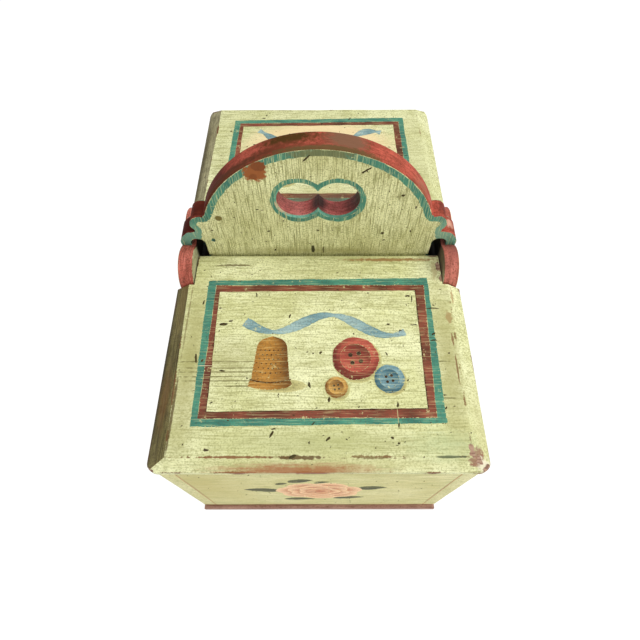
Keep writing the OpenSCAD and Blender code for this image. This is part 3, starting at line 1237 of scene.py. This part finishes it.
        # The coves' teal is darkened nearly to black as painted shade of the deep gaps beside the
        # shoulders.
        self.cove = PaintedWood(
            "milk_paint_teal_and_painted_shade_in_coves", paint="#2C5A4A", light="#4B8873", dark="#16261E",
            glaze="#10160F", grain=Grain.ROUND_FACE, wear=0.2, spots=tuple(
                Spot((side * 108.5, 0, top - 2), (14, 16, 18), "#100E08", 1.0, 0.1, 0.4)
                for side in SIDES)).build()
        self.teal_rim = PaintedWood(
            "milk_paint_teal_rims", paint=self.TEAL, light="#7DBBA4", dark=self.TEAL_DARK,
            glaze="#4B6B50", grain=Grain.ROUND_FACE, wear=0.3, bare_light="#D8CFA8",
            bare_dark="#8A7A58").build()

    def lines(self) -> None:
        """The paints of lines and flowers, whose colour comes from the strokes."""
        board, top = -SIZE.board_face, SIZE.lid_top
        thin = dict(paint="#CFCB90", light="#E8E6DC", wear=0.0, tinted=True)
        self.film = PaintedWood(
            "milk_paint_lines_and_flowers", **thin, dark="#9C9678", glaze="#4E4A34",
            grain=Grain.ACROSS, specks=0.4, streaks=0.3, dents=0.35, sheen=0.12, spots=(
                # Painted shadow of the handle board on the back lid's near bands, which are seen
                # through the finger holes.
                Spot((0, 58, top), (44, 10, 3), "#6E5644", 0.75, 0.3, 0.6, 0.4),
                Spot((60, -166, top), (0.45, 9, 3), "#C4BA86", 0.7, 0.7, 0.4),
                Spot((-91, -124.5, top), (8, 0.4, 3), "#D6CDA4", 0.75, 0.7, 0.4))).build()
        self.film_upright = PaintedWood(
            "milk_paint_lines_on_handle_board", **thin, dark="#A9A67C", glaze="#4A6A50",
            grain=Grain.UPRIGHT, streak_mm=0.8, specks=0.45, streaks=0.75, dents=0.3, spots=(
                Spot((4, board, top + 111), (30, 5, 8), "#6E6A40", 0.8, 0.6, 0.5, 0.5),
                Spot((-110, board, top + 24), (18, 6, 18), "#8DB39C", 0.45, 0.5, 0.7, 1.6),
                Spot((108, board, top + 26), (18, 6, 20), "#9DB79E", 0.45, 0.5, 0.7, 1.6),
                *self.bare_patch)).build()


# The box


@dataclass
class Box:
    """The box itself: base board, four walls, pins and nails."""

    FLAT = 0.7   # a face looks along an axis when its normal has more than this of it
    ROSE_DOWN = 107   # from the top of the lids to the middle of a rose

    paints: Paints
    body: str = "box"

    def end_side(self, normal: Vector, centre: Vector) -> int:
        """Chooses the finish of a face of the front or back wall.

        Args:
            normal: the way the face looks.
            centre: its middle.

        Returns:
            0 for paint or 1 for bare wood.
        """
        outer = abs(normal.y) > self.FLAT and abs(centre.y) > abs(SIZE.wall_front) - 1
        return 0 if outer else 1

    def side_side(self, normal: Vector, centre: Vector) -> int:
        """Chooses the finish of a face of a side wall.

        Args:
            normal: the way the face looks.
            centre: its middle.

        Returns:
            0 for paint, 1 for bare wood, 2 for the shoulders' red or 3 for their insides.
        """
        if centre.z > SIZE.lid_under + 1 and abs(normal.x) < self.FLAT:
            return 2
        if abs(centre.x) < SIZE.inner_half + 1:
            return 1 if centre.z < SIZE.lid_under - 1 else 3
        return 0

    def base_side(self, normal: Vector, centre: Vector) -> int:
        """Chooses the finish of a face of the base board.

        Args:
            normal: the way the face looks.
            centre: its middle.

        Returns:
            0 for paint or 1 for bare wood, below and inside the box.
        """
        inside = abs(centre.x) < SIZE.inner_half and abs(centre.y) < abs(SIZE.wall_front) - 2
        return 1 if normal.z < -self.FLAT or inside else 0

    def build(self) -> None:
        """Makes the boards, gives the ironwork its iron and paints a rose on each end."""
        p = self.paints
        for node in ("front_wall", "back_wall"):
            Board(node, self.body, (p.walls_across, p.pine_across), self.end_side,
                  ease=0.35).make()
        for node in ("left_wall", "right_wall"):
            Board(node, self.body, (p.walls_along, p.pine_along, p.red_shoulder,
                                    p.shoulder_inside), self.side_side, ease=0.7).make()
        Board("base_board", self.body, (p.red_base, p.pine_along), self.base_side,
              ease=0.8, pitch=5, slot="red_paint").make()
        for name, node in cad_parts.items():
            if "pin" in name or "nails" in name:
                node.data.materials.clear()
                node.data.materials.append(p.iron)
        for name, face in (("front_rose", WALL_FRONT), ("back_rose", WALL_BACK)):
            film = Film(name, face, self.body)
            Rose(film, SIZE.lid_top - self.ROSE_DOWN).paint()
            film.done(p.film)


@dataclass
class Rose:
    """A rose with leaves in the common folk manner, built from comma strokes."""

    LIGHT, DARK, HEART = "#F6CFA4", "#C67A54", "#B9694A"
    LEAF_LIGHT, LEAF_DARK = "#5E6036", "#2F331C"
    LEAVES = (((-34, 0), (-68, 8), 9.0), ((34, 10), (60, 18), 8.5), ((-26, 42), (-5, 52), 6.5),
              ((-4, 38), (9, 44), 3.6), ((-37, 32), (-27, 37), 3.4), ((-35, -47), (-4, -44), 6.5),
              ((14, -40), (44, -33), 6.5))   # start and end from the middle, and half the width
    ROUNDS = ((0.92, 6.5, 7), (0.66, 5.5, 6), (0.42, 4.5, 5))   # share out, half width, petals
    CURL = 1.25   # how far round the heart a petal goes, in radians

    film: Film
    middle: float
    width: float = 36.0
    height: float = 37.0

    def _leaf(self, start: Point, end: Point, half: float) -> None:
        """Paints one leaf, its two sides in two greens.

        Args:
            start: where it grows from.
            end: its tip.
            half: half its width.
        """
        path = []
        for t in (i / 14 for i in range(15)):
            path.append((start[0] + (end[0] - start[0]) * t, self.middle + start[1]
                         + (end[1] - start[1]) * t + 2.5 * math.sin(math.pi * t)))
        self.film.stroke(path, lambda t: 0.3 + half * math.sin(math.pi * t ** 0.8) ** 0.9,
                         lambda t, s: mixed(self.LEAF_DARK, self.LEAF_LIGHT,
                                            0.5 + 0.5 * s + 0.2 * (t - 0.5)))

    def _petal(self, angle: float, reach: float, half: float) -> None:
        """Paints one petal as a curved stroke round the heart.

        Args:
            angle: where its middle lies.
            reach: its share of the way out.
            half: half its width.
        """
        path = []
        for t in (i / 12 for i in range(13)):
            a = angle + self.CURL * (t - 0.5)
            r = reach * (0.82 + 0.18 * math.sin(math.pi * t))
            path.append((self.width * r * math.cos(a),
                         self.middle + self.height * r * math.sin(a)))
        self.film.stroke(path, lambda t: 0.4 + half * math.sin(math.pi * t) ** 0.7,
                         lambda t, s: mixed(self.LIGHT, self.DARK, 0.45 + 0.55 * s))

    def paint(self) -> None:
        """Paints the leaves, the flower's ground, its rounds of petals and its heart."""
        for start, end, half in self.LEAVES:
            self._leaf(start, end, half)
        outline = oval(self.width, self.height)
        self.film.blob((0, self.middle), lambda a: outline(a) * (0.98 + 0.04 * math.cos(5 * a)),
                       lambda r, x, y: mixed(self.DARK, self.LIGHT, 0.25 + 0.5 * r + 0.2 * y),
                       rings=8, around=60)
        for turn, (reach, half, many) in enumerate(self.ROUNDS):
            for i in range(many):
                self._petal(math.tau * (i + 0.37 * turn) / many + 0.3, reach, half)
        self.film.blob((1, self.middle + 1), lambda a: 5.0 + 0.6 * math.cos(3 * a),
                       lambda r, x, y: mixed(self.HEART, self.DARK, r))


# The handle board


@dataclass
class Loop:
    """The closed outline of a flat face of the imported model."""

    points: list[Point]

    def size(self) -> float:
        """Width of the outline."""
        return max(p[0] for p in self.points) - min(p[0] for p in self.points)

    def inward(self) -> list[Step]:
        """Pairs each point with the direction into the wood there, evened out at corners.

        Returns:
            The points, each with its direction.
        """
        pts = self.points
        after = pts[1:] + pts[:1]
        sign = math.copysign(1.0, sum(a[0] * b[1] - b[0] * a[1] for a, b in zip(pts, after)))
        pairs = []
        for before, point, then in zip(pts[-1:] + pts, pts, after):
            legs = [unit(b[0] - a[0], b[1] - a[1]) for a, b in ((before, point), (point, then))]
            du, dv = legs[0][0] + legs[1][0], legs[0][1] + legs[1][1]
            if math.hypot(du, dv) < 1e-6:
                du, dv = legs[0]
            du, dv = unit(du, dv)
            pairs.append((point, (-dv * sign, du * sign)))
        return pairs


def face_loops(node: str) -> list[Loop]:
    """Outlines of a node's front face, the face towards -Y.

    Args:
        node: name of the node.

    Returns:
        Its closed outlines as (x, z) points, the widest first.
    """
    mesh = bmesh.new()
    mesh.from_mesh(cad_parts[node].data)
    bmesh.ops.remove_doubles(mesh, verts=mesh.verts, dist=MERGE * MM)
    front = {f for f in mesh.faces if f.normal.y < -0.999
             and abs(f.calc_center_median().y + SIZE.board_face * MM) < 0.01 * MM}
    rim = [e for e in mesh.edges if sum(f in front for f in e.link_faces) == 1]
    links: dict = {}
    for edge in rim:
        for vert in edge.verts:
            links.setdefault(vert, []).append(edge)
    loops, used = [], set()
    for first in rim:
        if first in used:
            continue
        start, vert = first.verts
        edge, points = first, [(start.co.x / MM, start.co.z / MM)]
        used.add(first)
        while vert is not start:
            points.append((vert.co.x / MM, vert.co.z / MM))
            edge = next(e for e in links[vert] if e is not edge)
            used.add(edge)
            vert = edge.other_vert(vert)
        loops.append(Loop(points))
    mesh.free()
    return sorted(loops, key=Loop.size, reverse=True)


@dataclass
class HandleBoard:
    """The handle board with its red edge and the teal line round it.

    The line and the rings round the holes have their widths here, and start a little inside the
    rim. A cove is given by its middle's distance from the centre, its height and its radius.
    """

    CHIPS = (Chip((-16, -9.4, 250), (4.5, 1.3, 2.2)), Chip((-8.5, -9.4, 251.5), (3, 1.2, 1.8)),
             Chip((-94, -9.6, 219), (2.0, 1.2, 2.2)))
    ACROSS = 5   # points across a line

    paints: Paints
    body: str = "box"
    line: float = 5.6
    ring: float = 3.6
    start: float = 0.2
    cove: Place = (108.5, 214.3, 7.6)
    loops: list[Loop] = field(default_factory=lambda: face_loops("handle_board"))

    def _in_hole(self, centre: Vector) -> bool:
        """Tells whether a place lies in or at the rim of the finger holes.

        Args:
            centre: the place.

        Returns:
            Whether it does.
        """
        return all(min(places) - 0.5 < place < max(places) + 0.5 for places, place in
                   zip(zip(*self.loops[1].points), (centre.x, centre.z)))

    def side(self, normal: Vector, centre: Vector) -> int:
        """Chooses the finish of a face of the board.

        Args:
            normal: the way the face looks.
            centre: its middle.

        Returns:
            0 for the faces' cream, 1 for red edges, 2 for the holes' rims and 3 for their
            insides, 4 for bare wood below the lids or 6 for the coves and the ledges beside
            them, whose teal is darkened nearly to black as painted shade.
        """
        facing = abs(normal.y)
        if centre.z < SIZE.lid_under - 4:
            return 4
        if self._in_hole(centre):
            return 0 if facing > 0.95 else 2 if facing > 0.35 else 3
        out, up, radius = self.cove
        if facing < 0.9 and math.hypot(abs(centre.x) - out, centre.z - up) < radius:
            return 6
        # The ledges beside the coves take the cove finish, as painted shade in the dark gap.
        if abs(centre.x) > out - 7.5 and centre.z < SIZE.lid_top - 4:
            return 6
        return 1 if facing < 0.9 and centre.z > SIZE.lid_top - 4 else 0

    @staticmethod
    def _shown(step: Step) -> bool:
        """Tells whether the outline is painted at a point: not below the ears' reliefs.

        Args:
            step: a point of the outline with its direction.

        Returns:
            Whether it is.
        """
        u, v = step[0]
        return v > SIZE.lid_top + 20 or (abs(u) > 105 and v > SIZE.lid_top + 8)

    def _runs(self) -> list[list[Step]]:
        """Finds the stretches of the board's outline that are painted.

        Returns:
            The stretches.
        """
        steps = self.loops[0].inward()
        cut = [self._shown(step) for step in steps].index(False)
        groups = groupby(steps[cut:] + steps[:cut], self._shown)
        runs = [list(run) for shown, run in groups if shown]
        return [run for run in runs if len(run) > 2]

    @staticmethod
    def _filled(run: list[Step]) -> list[Step]:
        """Adds points so that none are over 2 mm or 20 degrees apart.

        Args:
            run: points with their directions.

        Returns:
            The same with more between them.
        """
        out = [run[0]]
        for (p, n), (q, m) in zip(run, run[1:]):
            turn = abs(math.atan2(n[0] * m[1] - n[1] * m[0], n[0] * m[0] + n[1] * m[1]))
            many = max(1, math.ceil(math.dist(p, q) / 2), math.ceil(turn / 0.35))
            for t in (i / many for i in range(1, many + 1)):
                place, way = ([a + (b - a) * t for a, b in zip(*ends)] for ends in ((p, q), (n, m)))
                out.append((tuple(place), unit(*way)))
        return out

    def _band(self, film: Film, run: list[Step], ring: bool) -> None:
        """Paints one band along an outline.

        Args:
            film: the film to paint on; the one on the back is a mirror image.
            run: points of the outline with the way in which the band is wide.
            ring: whether it goes round a finger hole, where it keeps to its half of the board.
        """
        mirror = -1 if film.face is BOARD_BACK else 1
        rows = []
        for (u, v), (nu, nv) in self._filled(run):
            wide = self.line
            if ring:
                wide = self.ring * (0.85 + 0.3 * abs(nv)) + 0.5 * wobble(u, v, 9, 5)
            tint = mixed(Paints.TEAL, Paints.TEAL_DARK, 0.4 + 0.8 * wobble(u, v, 11, 3))
            rows.append([])
            for j in range(self.ACROSS):
                uneven = 0.7 * wobble(u, v, 5, j) if j in (0, self.ACROSS - 1) else 0.0
                reach = self.start + wide * j / (self.ACROSS - 1) + uneven
                x, y = u + nu * reach, v + nv * reach
                if ring and abs(u) > 0.01:
                    x = min(x, 0.0) if u < 0 else max(x, 0.0)
                rows[-1].append(((mirror * x, y), tint))
        film.grid(rows, firm=True)

    def build(self) -> None:
        """Makes the board and paints the teal lines on both its faces."""
        p = self.paints
        Board("handle_board", self.body,
              (p.handle, p.red_edge, p.teal_rim, p.red_hole, p.pine_upright, p.chipped, p.cove),
              self.side, ease=0.6, pitch=3.0, chips=self.CHIPS).make()
        for name, face in (("handle_lines_front", BOARD_FRONT), ("handle_lines_back", BOARD_BACK)):
            film = Film(name, face, self.body)
            for run in self._runs():
                self._band(film, run, False)
            for loop in self.loops[1:]:
                ring = [(point, (-nu, -nv)) for point, (nu, nv) in loop.inward()]
                self._band(film, ring + ring[:1], True)
            film.done(p.film_upright)


# The lids


@dataclass
class Lid:
    """One lid with its painted panel.

    The panel is given by the corners of the teal band's outside, the line between the bands and
    the red band's inside, each from the left nearest the hinge round by the right.
    """

    SHARES = (0.0, 0.3, 0.6, 0.86, 0.9, 1.0)   # rows of points across a band
    ALONG = 60   # points along one side of a band
    SHADES = 7   # seed of a band's shades
    SHADOW = "#38200F"   # the thin line at the inside of the red band

    paints: Paints
    node: str
    finishes: tuple[Material, Material]
    panel: tuple[tuple[Point, Point, Point, Point], ...]
    side: int
    chips: tuple[Chip, ...] = ()

    @staticmethod
    def finish_at(normal: Vector, centre: Vector) -> int:
        """Chooses the finish of a face of the lid.

        Args:
            normal: the way the face looks.
            centre: its middle.

        Returns:
            0 for paint, 1 for bare wood below or 2 for the bevel at the left, soiled and
            darkened with painted shade.
        """
        if normal.x < -0.3 and centre.x < -SIZE.lid_half + 17:
            return 2
        return 1 if normal.z < -0.7 else 0

    def _frame(self, film: Film, outer: Sequence[Point], inner: Sequence[Point], light: str,
               dark: str, lined: tuple[int, ...] = ()) -> None:
        """Paints one band of the frame round the panel.

        Args:
            film: the film to paint on.
            outer: the corners of its outer edge.
            inner: the corners of its inner edge.
            light: its light colour.
            dark: its dark colour.
            lined: the sides whose inner edge has a thin dark line.
        """
        rows = []
        for share in self.SHARES:
            corners = [tuple(p + (q - p) * share for p, q in zip(*pair))
                       for pair in zip(outer, inner)]
            slack = 0.5 if share in (0.0, 1.0) else 0.0
            rows.append([])
            for k, ((u0, v0), (u1, v1)) in enumerate(zip(corners, corners[1:] + corners[:1])):
                for t in (i / self.ALONG for i in range(self.ALONG)):
                    u, v = u0 + (u1 - u0) * t, v0 + (v1 - v0) * t
                    u += slack * wobble(u, v, 9, share + 1)
                    v += slack * wobble(u, v, 9, share + 2)
                    shade = mixed(light, dark, 0.45 + 0.9 * wobble(u, v, 16, self.SHADES))
                    if k in lined and share > 0.88:
                        shade = mixed(shade, self.SHADOW, 0.75 + 1.2 * wobble(u, v, 12, 3))
                    rows[-1].append(((u, v), shade))
        film.grid(rows, ring=True)

    def build(self) -> None:
        """Makes the lid, painted above and on its edges and bare below, and its picture."""
        p, (top, bevel) = self.paints, self.finishes
        Board(self.node, self.node, (top, p.pine_across, bevel, p.chipped), self.finish_at,
              ease=1.0, pitch=3.0, chips=self.chips).make()
        front = self.side < 0
        film = Film(self.node + "_picture", LID_TOP, self.node)
        outside, between, inside = self.panel
        self._frame(film, outside, between, p.TEAL, p.TEAL_DARK)
        self._frame(film, between, inside, p.BAND_RED, p.BAND_RED_DARK, (1, 2, 3) if front else ())
        notions = Notions(film)
        notions.front() if front else notions.back()
        film.done(p.film)


@dataclass
class Notions:
    """Plain sewing notions: thimble, buttons and ribbon."""

    RED, BLUE, GOLD = ("#BE5A4A", "#6E2A22"), ("#7FA3AA", "#3B6470"), ("#D3A457", "#7A4E1E")
    BRASS, BRASS_DARK, DIMPLE, SEAM = "#C98F3E", "#6A4119", "#5B3614", "#57330F"
    RIBBON, RIBBON_DARK = "#A9C2BE", "#54808A"
    HOLE = "#3B2A1C"

    film: Film

    def button(self, centre: Point, radius: float, tints: tuple[str, str]) -> None:
        """Paints a round button with a shadow, a rim and four holes.

        Args:
            centre: its middle.
            radius: its radius.
            tints: its light and its dark colour.
        """
        u, v = centre
        light, dark = tints
        self.film.blob((u + 1.2, v - 1.6), lambda t: radius * 1.04,
                       lambda r, x, y: mixed("#8C8450", "#C2BC80", r ** 3))
        self.film.blob(centre, lambda t: radius * (1 + 0.015 * math.cos(7 * t)),
                       lambda r, x, y: mixed(light, dark,
                                             0.45 - 0.35 * x - 0.5 * y + 0.35 * (r > 0.8)), 9)
        self.film.blob((u - 0.2, v + 0.3), lambda t: radius * 0.66,
                       lambda r, x, y: mixed(light, dark, 0.55 + 0.3 * x + 0.45 * y))
        for t in (math.tau * (i + 0.5) / 4 + 0.2 for i in range(4)):
            hole = (u + radius * 0.26 * math.cos(t), v + radius * 0.26 * math.sin(t))
            self.film.blob(hole, lambda _: radius * 0.1, lambda r, x, y: linear(self.HOLE), 2, 12)

    def thimble(self, centre: Point, height: float) -> None:
        """Paints a thimble standing on its rim, with its shadow and rows of dimples.

        Args:
            centre: the middle of its foot.
            height: its height.
        """
        u0, v0 = centre
        self.film.blob((u0 + 7, v0 + 0.5), oval(height * 0.5, height * 0.13),
                       lambda r, x, y: mixed("#9A9156", "#CBC58A", r ** 2))
        rows = []
        for t in (i / 16 for i in range(17)):
            dome = math.sqrt(max(0.0, 1 - (max(t - 0.78, 0) / 0.22) ** 2))
            half = height * (0.36 - 0.1 * t) * max(dome, 0.08)
            if t < 0.12:
                half += height * 0.035
            curve = -0.07 * height * (1 - t)
            rows.append([((u0 + half * s, v0 + height * t + curve * (1 - s * s)),
                          mixed(self.BRASS, self.BRASS_DARK, 0.28 + 0.5 * abs(s + 0.35) ** 1.6))
                         for s in (2 * j / 12 - 1 for j in range(13))])
        self.film.grid(rows)
        for i in range(6):
            t = 0.3 + 0.085 * i
            half = height * (0.36 - 0.1 * t)
            for s in ((j + 0.5 * (i % 2)) / 3.6 for j in range(-3, 4)):
                if abs(s) <= 0.92:
                    at = (u0 + half * s, v0 + height * (t - 0.07 * (1 - t) * (1 - s * s)))
                    self.film.blob(at, lambda _: 0.75 * (1.1 - abs(s) * 0.5),
                                   lambda r, x, y: linear(self.DIMPLE), 1, 8)
        seam = [(u0 + height * 0.38 * s * 0.98, v0 + height * (0.13 - 0.06 * (1 - s * s)))
                for s in (2 * i / 20 - 1 for i in range(21))]
        self.film.stroke(seam, lambda t: 0.55, lambda t, s: linear(self.SEAM), across=3)

    def ribbon(self, path: Sequence[Point], half: float) -> None:
        """Paints a pale blue ribbon that turns over at its bends.

        Args:
            path: points along its middle.
            half: half its width.
        """

        def tint(t: float, s: float) -> Colour:
            """Folds along the ribbon and a darker selvedge.

            Args:
                t: share of the length.
                s: place across, from -1 to 1.

            Returns:
                The colour there.
            """
            edge = 0.35 if abs(s) > 0.8 else 0.0
            fold = 0.5 + 0.5 * math.sin(t * 17)
            return mixed(self.RIBBON, self.RIBBON_DARK, 0.2 + 0.5 * fold + edge)

        self.film.stroke(path, lambda t: half * (0.35 + 0.65 * abs(math.cos(t * 8.5))), tint, 7)

    def front(self) -> None:
        """Paints the picture of the front lid."""
        self.ribbon([(-62 + 1.7 * i, -(84 + 9 * math.sin(i / 9) + 0.06 * i)) for i in range(80)],
                    4.6)
        self.thimble((-38, -142), 44)
        self.button((30, -118), 19, self.RED)
        self.button((56, -136), 12, self.BLUE)
        self.button((14, -143), 9, self.GOLD)

    def back(self) -> None:
        """Paints the picture of the back lid."""
        self.ribbon([(4 - 1.9 * i, 138 + 0.45 * i + 6 * math.sin(i / 5)) for i in range(38)], 5)
        self.ribbon([(4 + 1.8 * i, 144 + 0.3 * i - 6 * math.sin(i / 6)) for i in range(37)], 5)
        self.button((-38, 92), 17, self.RED)
        self.button((12, 103), 11, self.GOLD)
        self.button((46, 104), 14, self.BLUE)


# Age and studio


@dataclass
class Weathering:
    """Dents on every painted face, some of them where they are seen."""

    LID = ((-24.4, -78.6, 4, 1.6, 75), (-79.9, -86.4, 7, 2.6, 5), (-74.1, -83.4, 3, 1.4, 10),
           (-82.9, -92.9, 2.2, 1.2, 60), (-99.3, -64.8, 5, 1.4, 80), (-53.8, -57.3, 5, 1.2, 100),
           (-99.2, -117.9, 9, 1.8, 98), (-93.6, -119.9, 3, 1.6, 60), (-76.7, -129.1, 5, 1.1, 0),
           (-7.1, -141.1, 7, 1.6, 105), (-34.9, -180.1, 6, 1.5, 60), (-33.5, -175.9, 3, 1.2, 10),
           (-18.7, -196.2, 6, 2.2, 20), (-4.1, -113.5, 2, 1.2, 30), (-82.3, -155.7, 3, 1, 30),
           (-30.9, -148.8, 2, 1, 70), (-3.8, -171.8, 3.5, 1.4, 50), (-6.7, -186.1, 2.4, 1.2, 80),
           (58.7, -86.7, 3, 1.3, 5), (68.6, -92.8, 3, 1.5, 15), (80.2, -87.4, 6, 1.1, 3),
           (95.7, -96.1, 5, 1.4, 40), (95, -102.2, 6, 1.2, 0), (97.7, -71.1, 12, 1.0, 2),
           (81, -61.4, 8, 0.9, 80), (1.7, -113.2, 3, 1.8, 70), (55.4, -114.2, 3, 1.2, 130),
           (106, -113.9, 2, 1.1, 0), (70, -137.5, 2.4, 1.4, 20), (66.3, -145.1, 2.4, 1.4, 0),
           (57.6, -146.3, 2.4, 1.6, 40), (8, -153.2, 4, 2.0, 80), (60.6, -157.6, 4, 1.4, 85),
           (60.3, -173.5, 4.5, 1.0, 90), (97.2, -159.9, 3, 1.6, 60), (7, -183.7, 4.5, 2.0, 45),
           (54.7, -182.6, 2.5, 1.4, 150), (59.2, -186.6, 2.5, 1.3, 20), (30.8, -159.3, 2, 1, 90))
    BOARD = ((36.5, 298.9, 9, 1.6, 35), (67.5, 272.8, 3.5, 2.4, 0), (56.2, 228.3, 3.2, 3, 20),
             (58.4, 218.9, 1.8, 1.8, 0), (-0.8, 231.9, 2.4, 2, 0), (-50.1, 257.7, 2.6, 1.6, 0),
             (-43.3, 230.7, 3, 2, 20), (-47, 216.3, 3, 1, 5), (-39.8, 205, 1.6, 3, 0),
             (-7.9, 310.1, 9, 1.4, 50), (-92.6, 232.1, 2.4, 1.6, 40))
    BOARD_PARTS = ((-78, -40, 208, 280), (40, 78, 208, 280), (-40, 40, 208, 242),
                   (-50, 50, 290, 302))
    END_PARTS = ((-106, 106, 16, 182),)
    SIDE_PARTS = ((-198, 0, 16, 180), (0, 198, 16, 180))

    paints: Paints

    def build(self) -> None:
        """Makes all the dents."""
        nodes = DentNodes(self.paints.grime)
        Dents(nodes, "front_lid_dents", "front_lid").build([
            Field(LID_TOP, ((-108, 108, -194, -46), (-104, 104, -46, -20)), self.LID, 3600, 4)])
        back_lid = tuple((-u, -v, long, wide, turn) for u, v, long, wide, turn in self.LID[1::3])
        Dents(nodes, "back_lid_dents", "back_lid").build([
            Field(LID_TOP, ((-108, 108, 46, 194), (-104, 104, 20, 46)), back_lid, 3200, 9)])
        back = tuple((-u, v, long, wide, -turn) for u, v, long, wide, turn in self.BOARD[::2])
        Dents(nodes, "box_dents", "box").build([
            Field(BOARD_FRONT, self.BOARD_PARTS, self.BOARD, 4200, 2),
            Field(BOARD_BACK, self.BOARD_PARTS, back, 4200, 3),
            Field(WALL_FRONT, self.END_PARTS, (), 1500, 5),
            Field(WALL_BACK, self.END_PARTS, (), 1500, 6),
            Field(WALL_LEFT, self.SIDE_PARTS, (), 1200, 7),
            Field(WALL_RIGHT, self.SIDE_PARTS, (), 1200, 8)])


@dataclass
class Studio:
    """Pale floor, soft lamps and the camera of the photograph."""

    LAMPS = (("key", (1.3, -0.1, 1.15), 0.7, 14.0), ("top", (-0.15, 0.1, 1.8), 1.5, 15.0),
             ("front", (0.1, -1.5, 0.5), 1.0, 7.8))   # place and size in metres, power in watts
    AIM = (0, 0, 0.15)   # in metres

    eye: Place = (1.9, -273.9, 334.0)
    turn: Place = (29.814, 0.141, -0.059)
    focal_px: float = 454.7
    frame_px: float = 640.0
    sensor: float = 36.0
    room: float = 0.42

    def camera(self) -> None:
        """Sets the camera where the photograph was taken from, seen from the lids' top."""
        data = bpy.data.cameras.new("camera")
        data.sensor_width = self.sensor
        data.lens = self.sensor * self.focal_px / self.frame_px
        data.clip_start = 0.01
        cam = shown("camera", data)
        cam.location = (Vector(self.eye) + Vector((0, 0, SIZE.lid_top))) * MM
        cam.rotation_euler = tuple(math.radians(a) for a in self.turn)
        bpy.context.scene.camera = cam

    def floor(self) -> None:
        """Lays the pale floor; the camera sees it lit to white but for a soft shadow."""
        g = Graph("studio_floor_paper")
        rays = g.add("LightPath")
        seen = g.add("Math", {0: rays, 1: rays.node.outputs["Is Glossy Ray"]}, operation="MAXIMUM")
        share = g.add("Math", {0: seen, 1: 0.8}, operation="MULTIPLY")
        paper = g.add("BsdfDiffuse", {"Color": linear("#F4F4F2")})
        glow = g.add("Emission", {"Color": (1, 1, 1, 1), "Strength": 1.14})
        g.add("OutputMaterial", {"Surface": g.add("MixShader", {0: share, 1: paper, 2: glow})})
        mesh = bmesh.new()
        bmesh.ops.create_grid(mesh, x_segments=1, y_segments=1, size=6)
        floor = placed("floor", mesh, [g.material])
        floor.location.z = -0.05 * MM

    def lamps(self) -> None:
        """Hangs a key lamp at the right, a wide one above and a weak one in front."""
        for name, place, size, power in self.LAMPS:
            data = bpy.data.lights.new(name, "AREA")
            data.size = size
            data.energy = power
            lamp = shown(name, data)
            lamp.location = place
            aim = Vector(self.AIM) - Vector(place)
            lamp.rotation_euler = aim.to_track_quat("-Z", "Y").to_euler()

    def sky(self) -> None:
        """Fills in the room's light, and shows white behind the floor."""
        world = bpy.data.worlds.new("room")
        world.use_nodes = True
        g = Nodes(world.node_tree)
        dim, white = (g.add("Background", {"Color": (1, 1, 1, 1), "Strength": strength})
                      for strength in (self.room, 1.0))
        mix = g.add("MixShader", {0: g.add("LightPath"), 1: dim, 2: white})
        g.add("OutputWorld", {"Surface": mix})
        bpy.context.scene.world = world

    def build(self) -> None:
        """Sets up the whole studio."""
        self.camera()
        self.floor()
        self.lamps()
        self.sky()
        bpy.context.scene.view_settings.view_transform = "Standard"


def main() -> None:
    """Builds the carrier and its studio."""
    logging.basicConfig(level=logging.INFO, format="%(name)s %(message)s")
    noise.seed_set(NOISE_SEED)
    Studio().build()
    paints = Paints()
    Box(paints).build()
    HandleBoard(paints).build()
    corners = (Chip((113.5, -193, 203), (5, 6, 2.6)), Chip((119, -199.5, 200), (4.5, 5, 2.8)),
               Chip((125, -204, 194.5), (4.5, 4.5, 3)), Chip((-124, -204, 193), (3, 3, 2)),
               Chip((108.5, -27, 202.6), (2.5, 5, 1.6)), Chip((109.5, -40, 202.8), (2, 4, 1.4)),
               Chip((105, -13, 202), (5, 2.5, 1.8)))
    Lid(paints, "front_lid", (paints.front_lid, paints.front_bevel), (
        ((-97.6, -41.8), (96.9, -39.4), (96.7, -171.8), (-96.4, -174.4)),
        ((-90.3, -46.8), (92.9, -47.1), (89.6, -167.6), (-91.4, -168.1)),
        ((-86.4, -53.8), (84.3, -52.8), (83.3, -159.9), (-85.1, -162.6))), -1, corners).build()
    Lid(paints, "back_lid", (paints.back_lid, paints.back_bevel), (
        ((-97.0, 52.3), (97.0, 52.3), (95.2, 182.2), (-94.2, 177.8)),
        ((-91.0, 58.3), (91.0, 58.3), (90.0, 175.4), (-88.1, 172.6)),
        ((-85.0, 64.5), (85.0, 64.5), (83.4, 170.1), (-84.2, 167.4))), 1,
        (Chip((92, 203.5, 197), (7, 2.5, 2.5)),)).build()
    Weathering(paints).build()


if __name__ == "__main__":
    main()
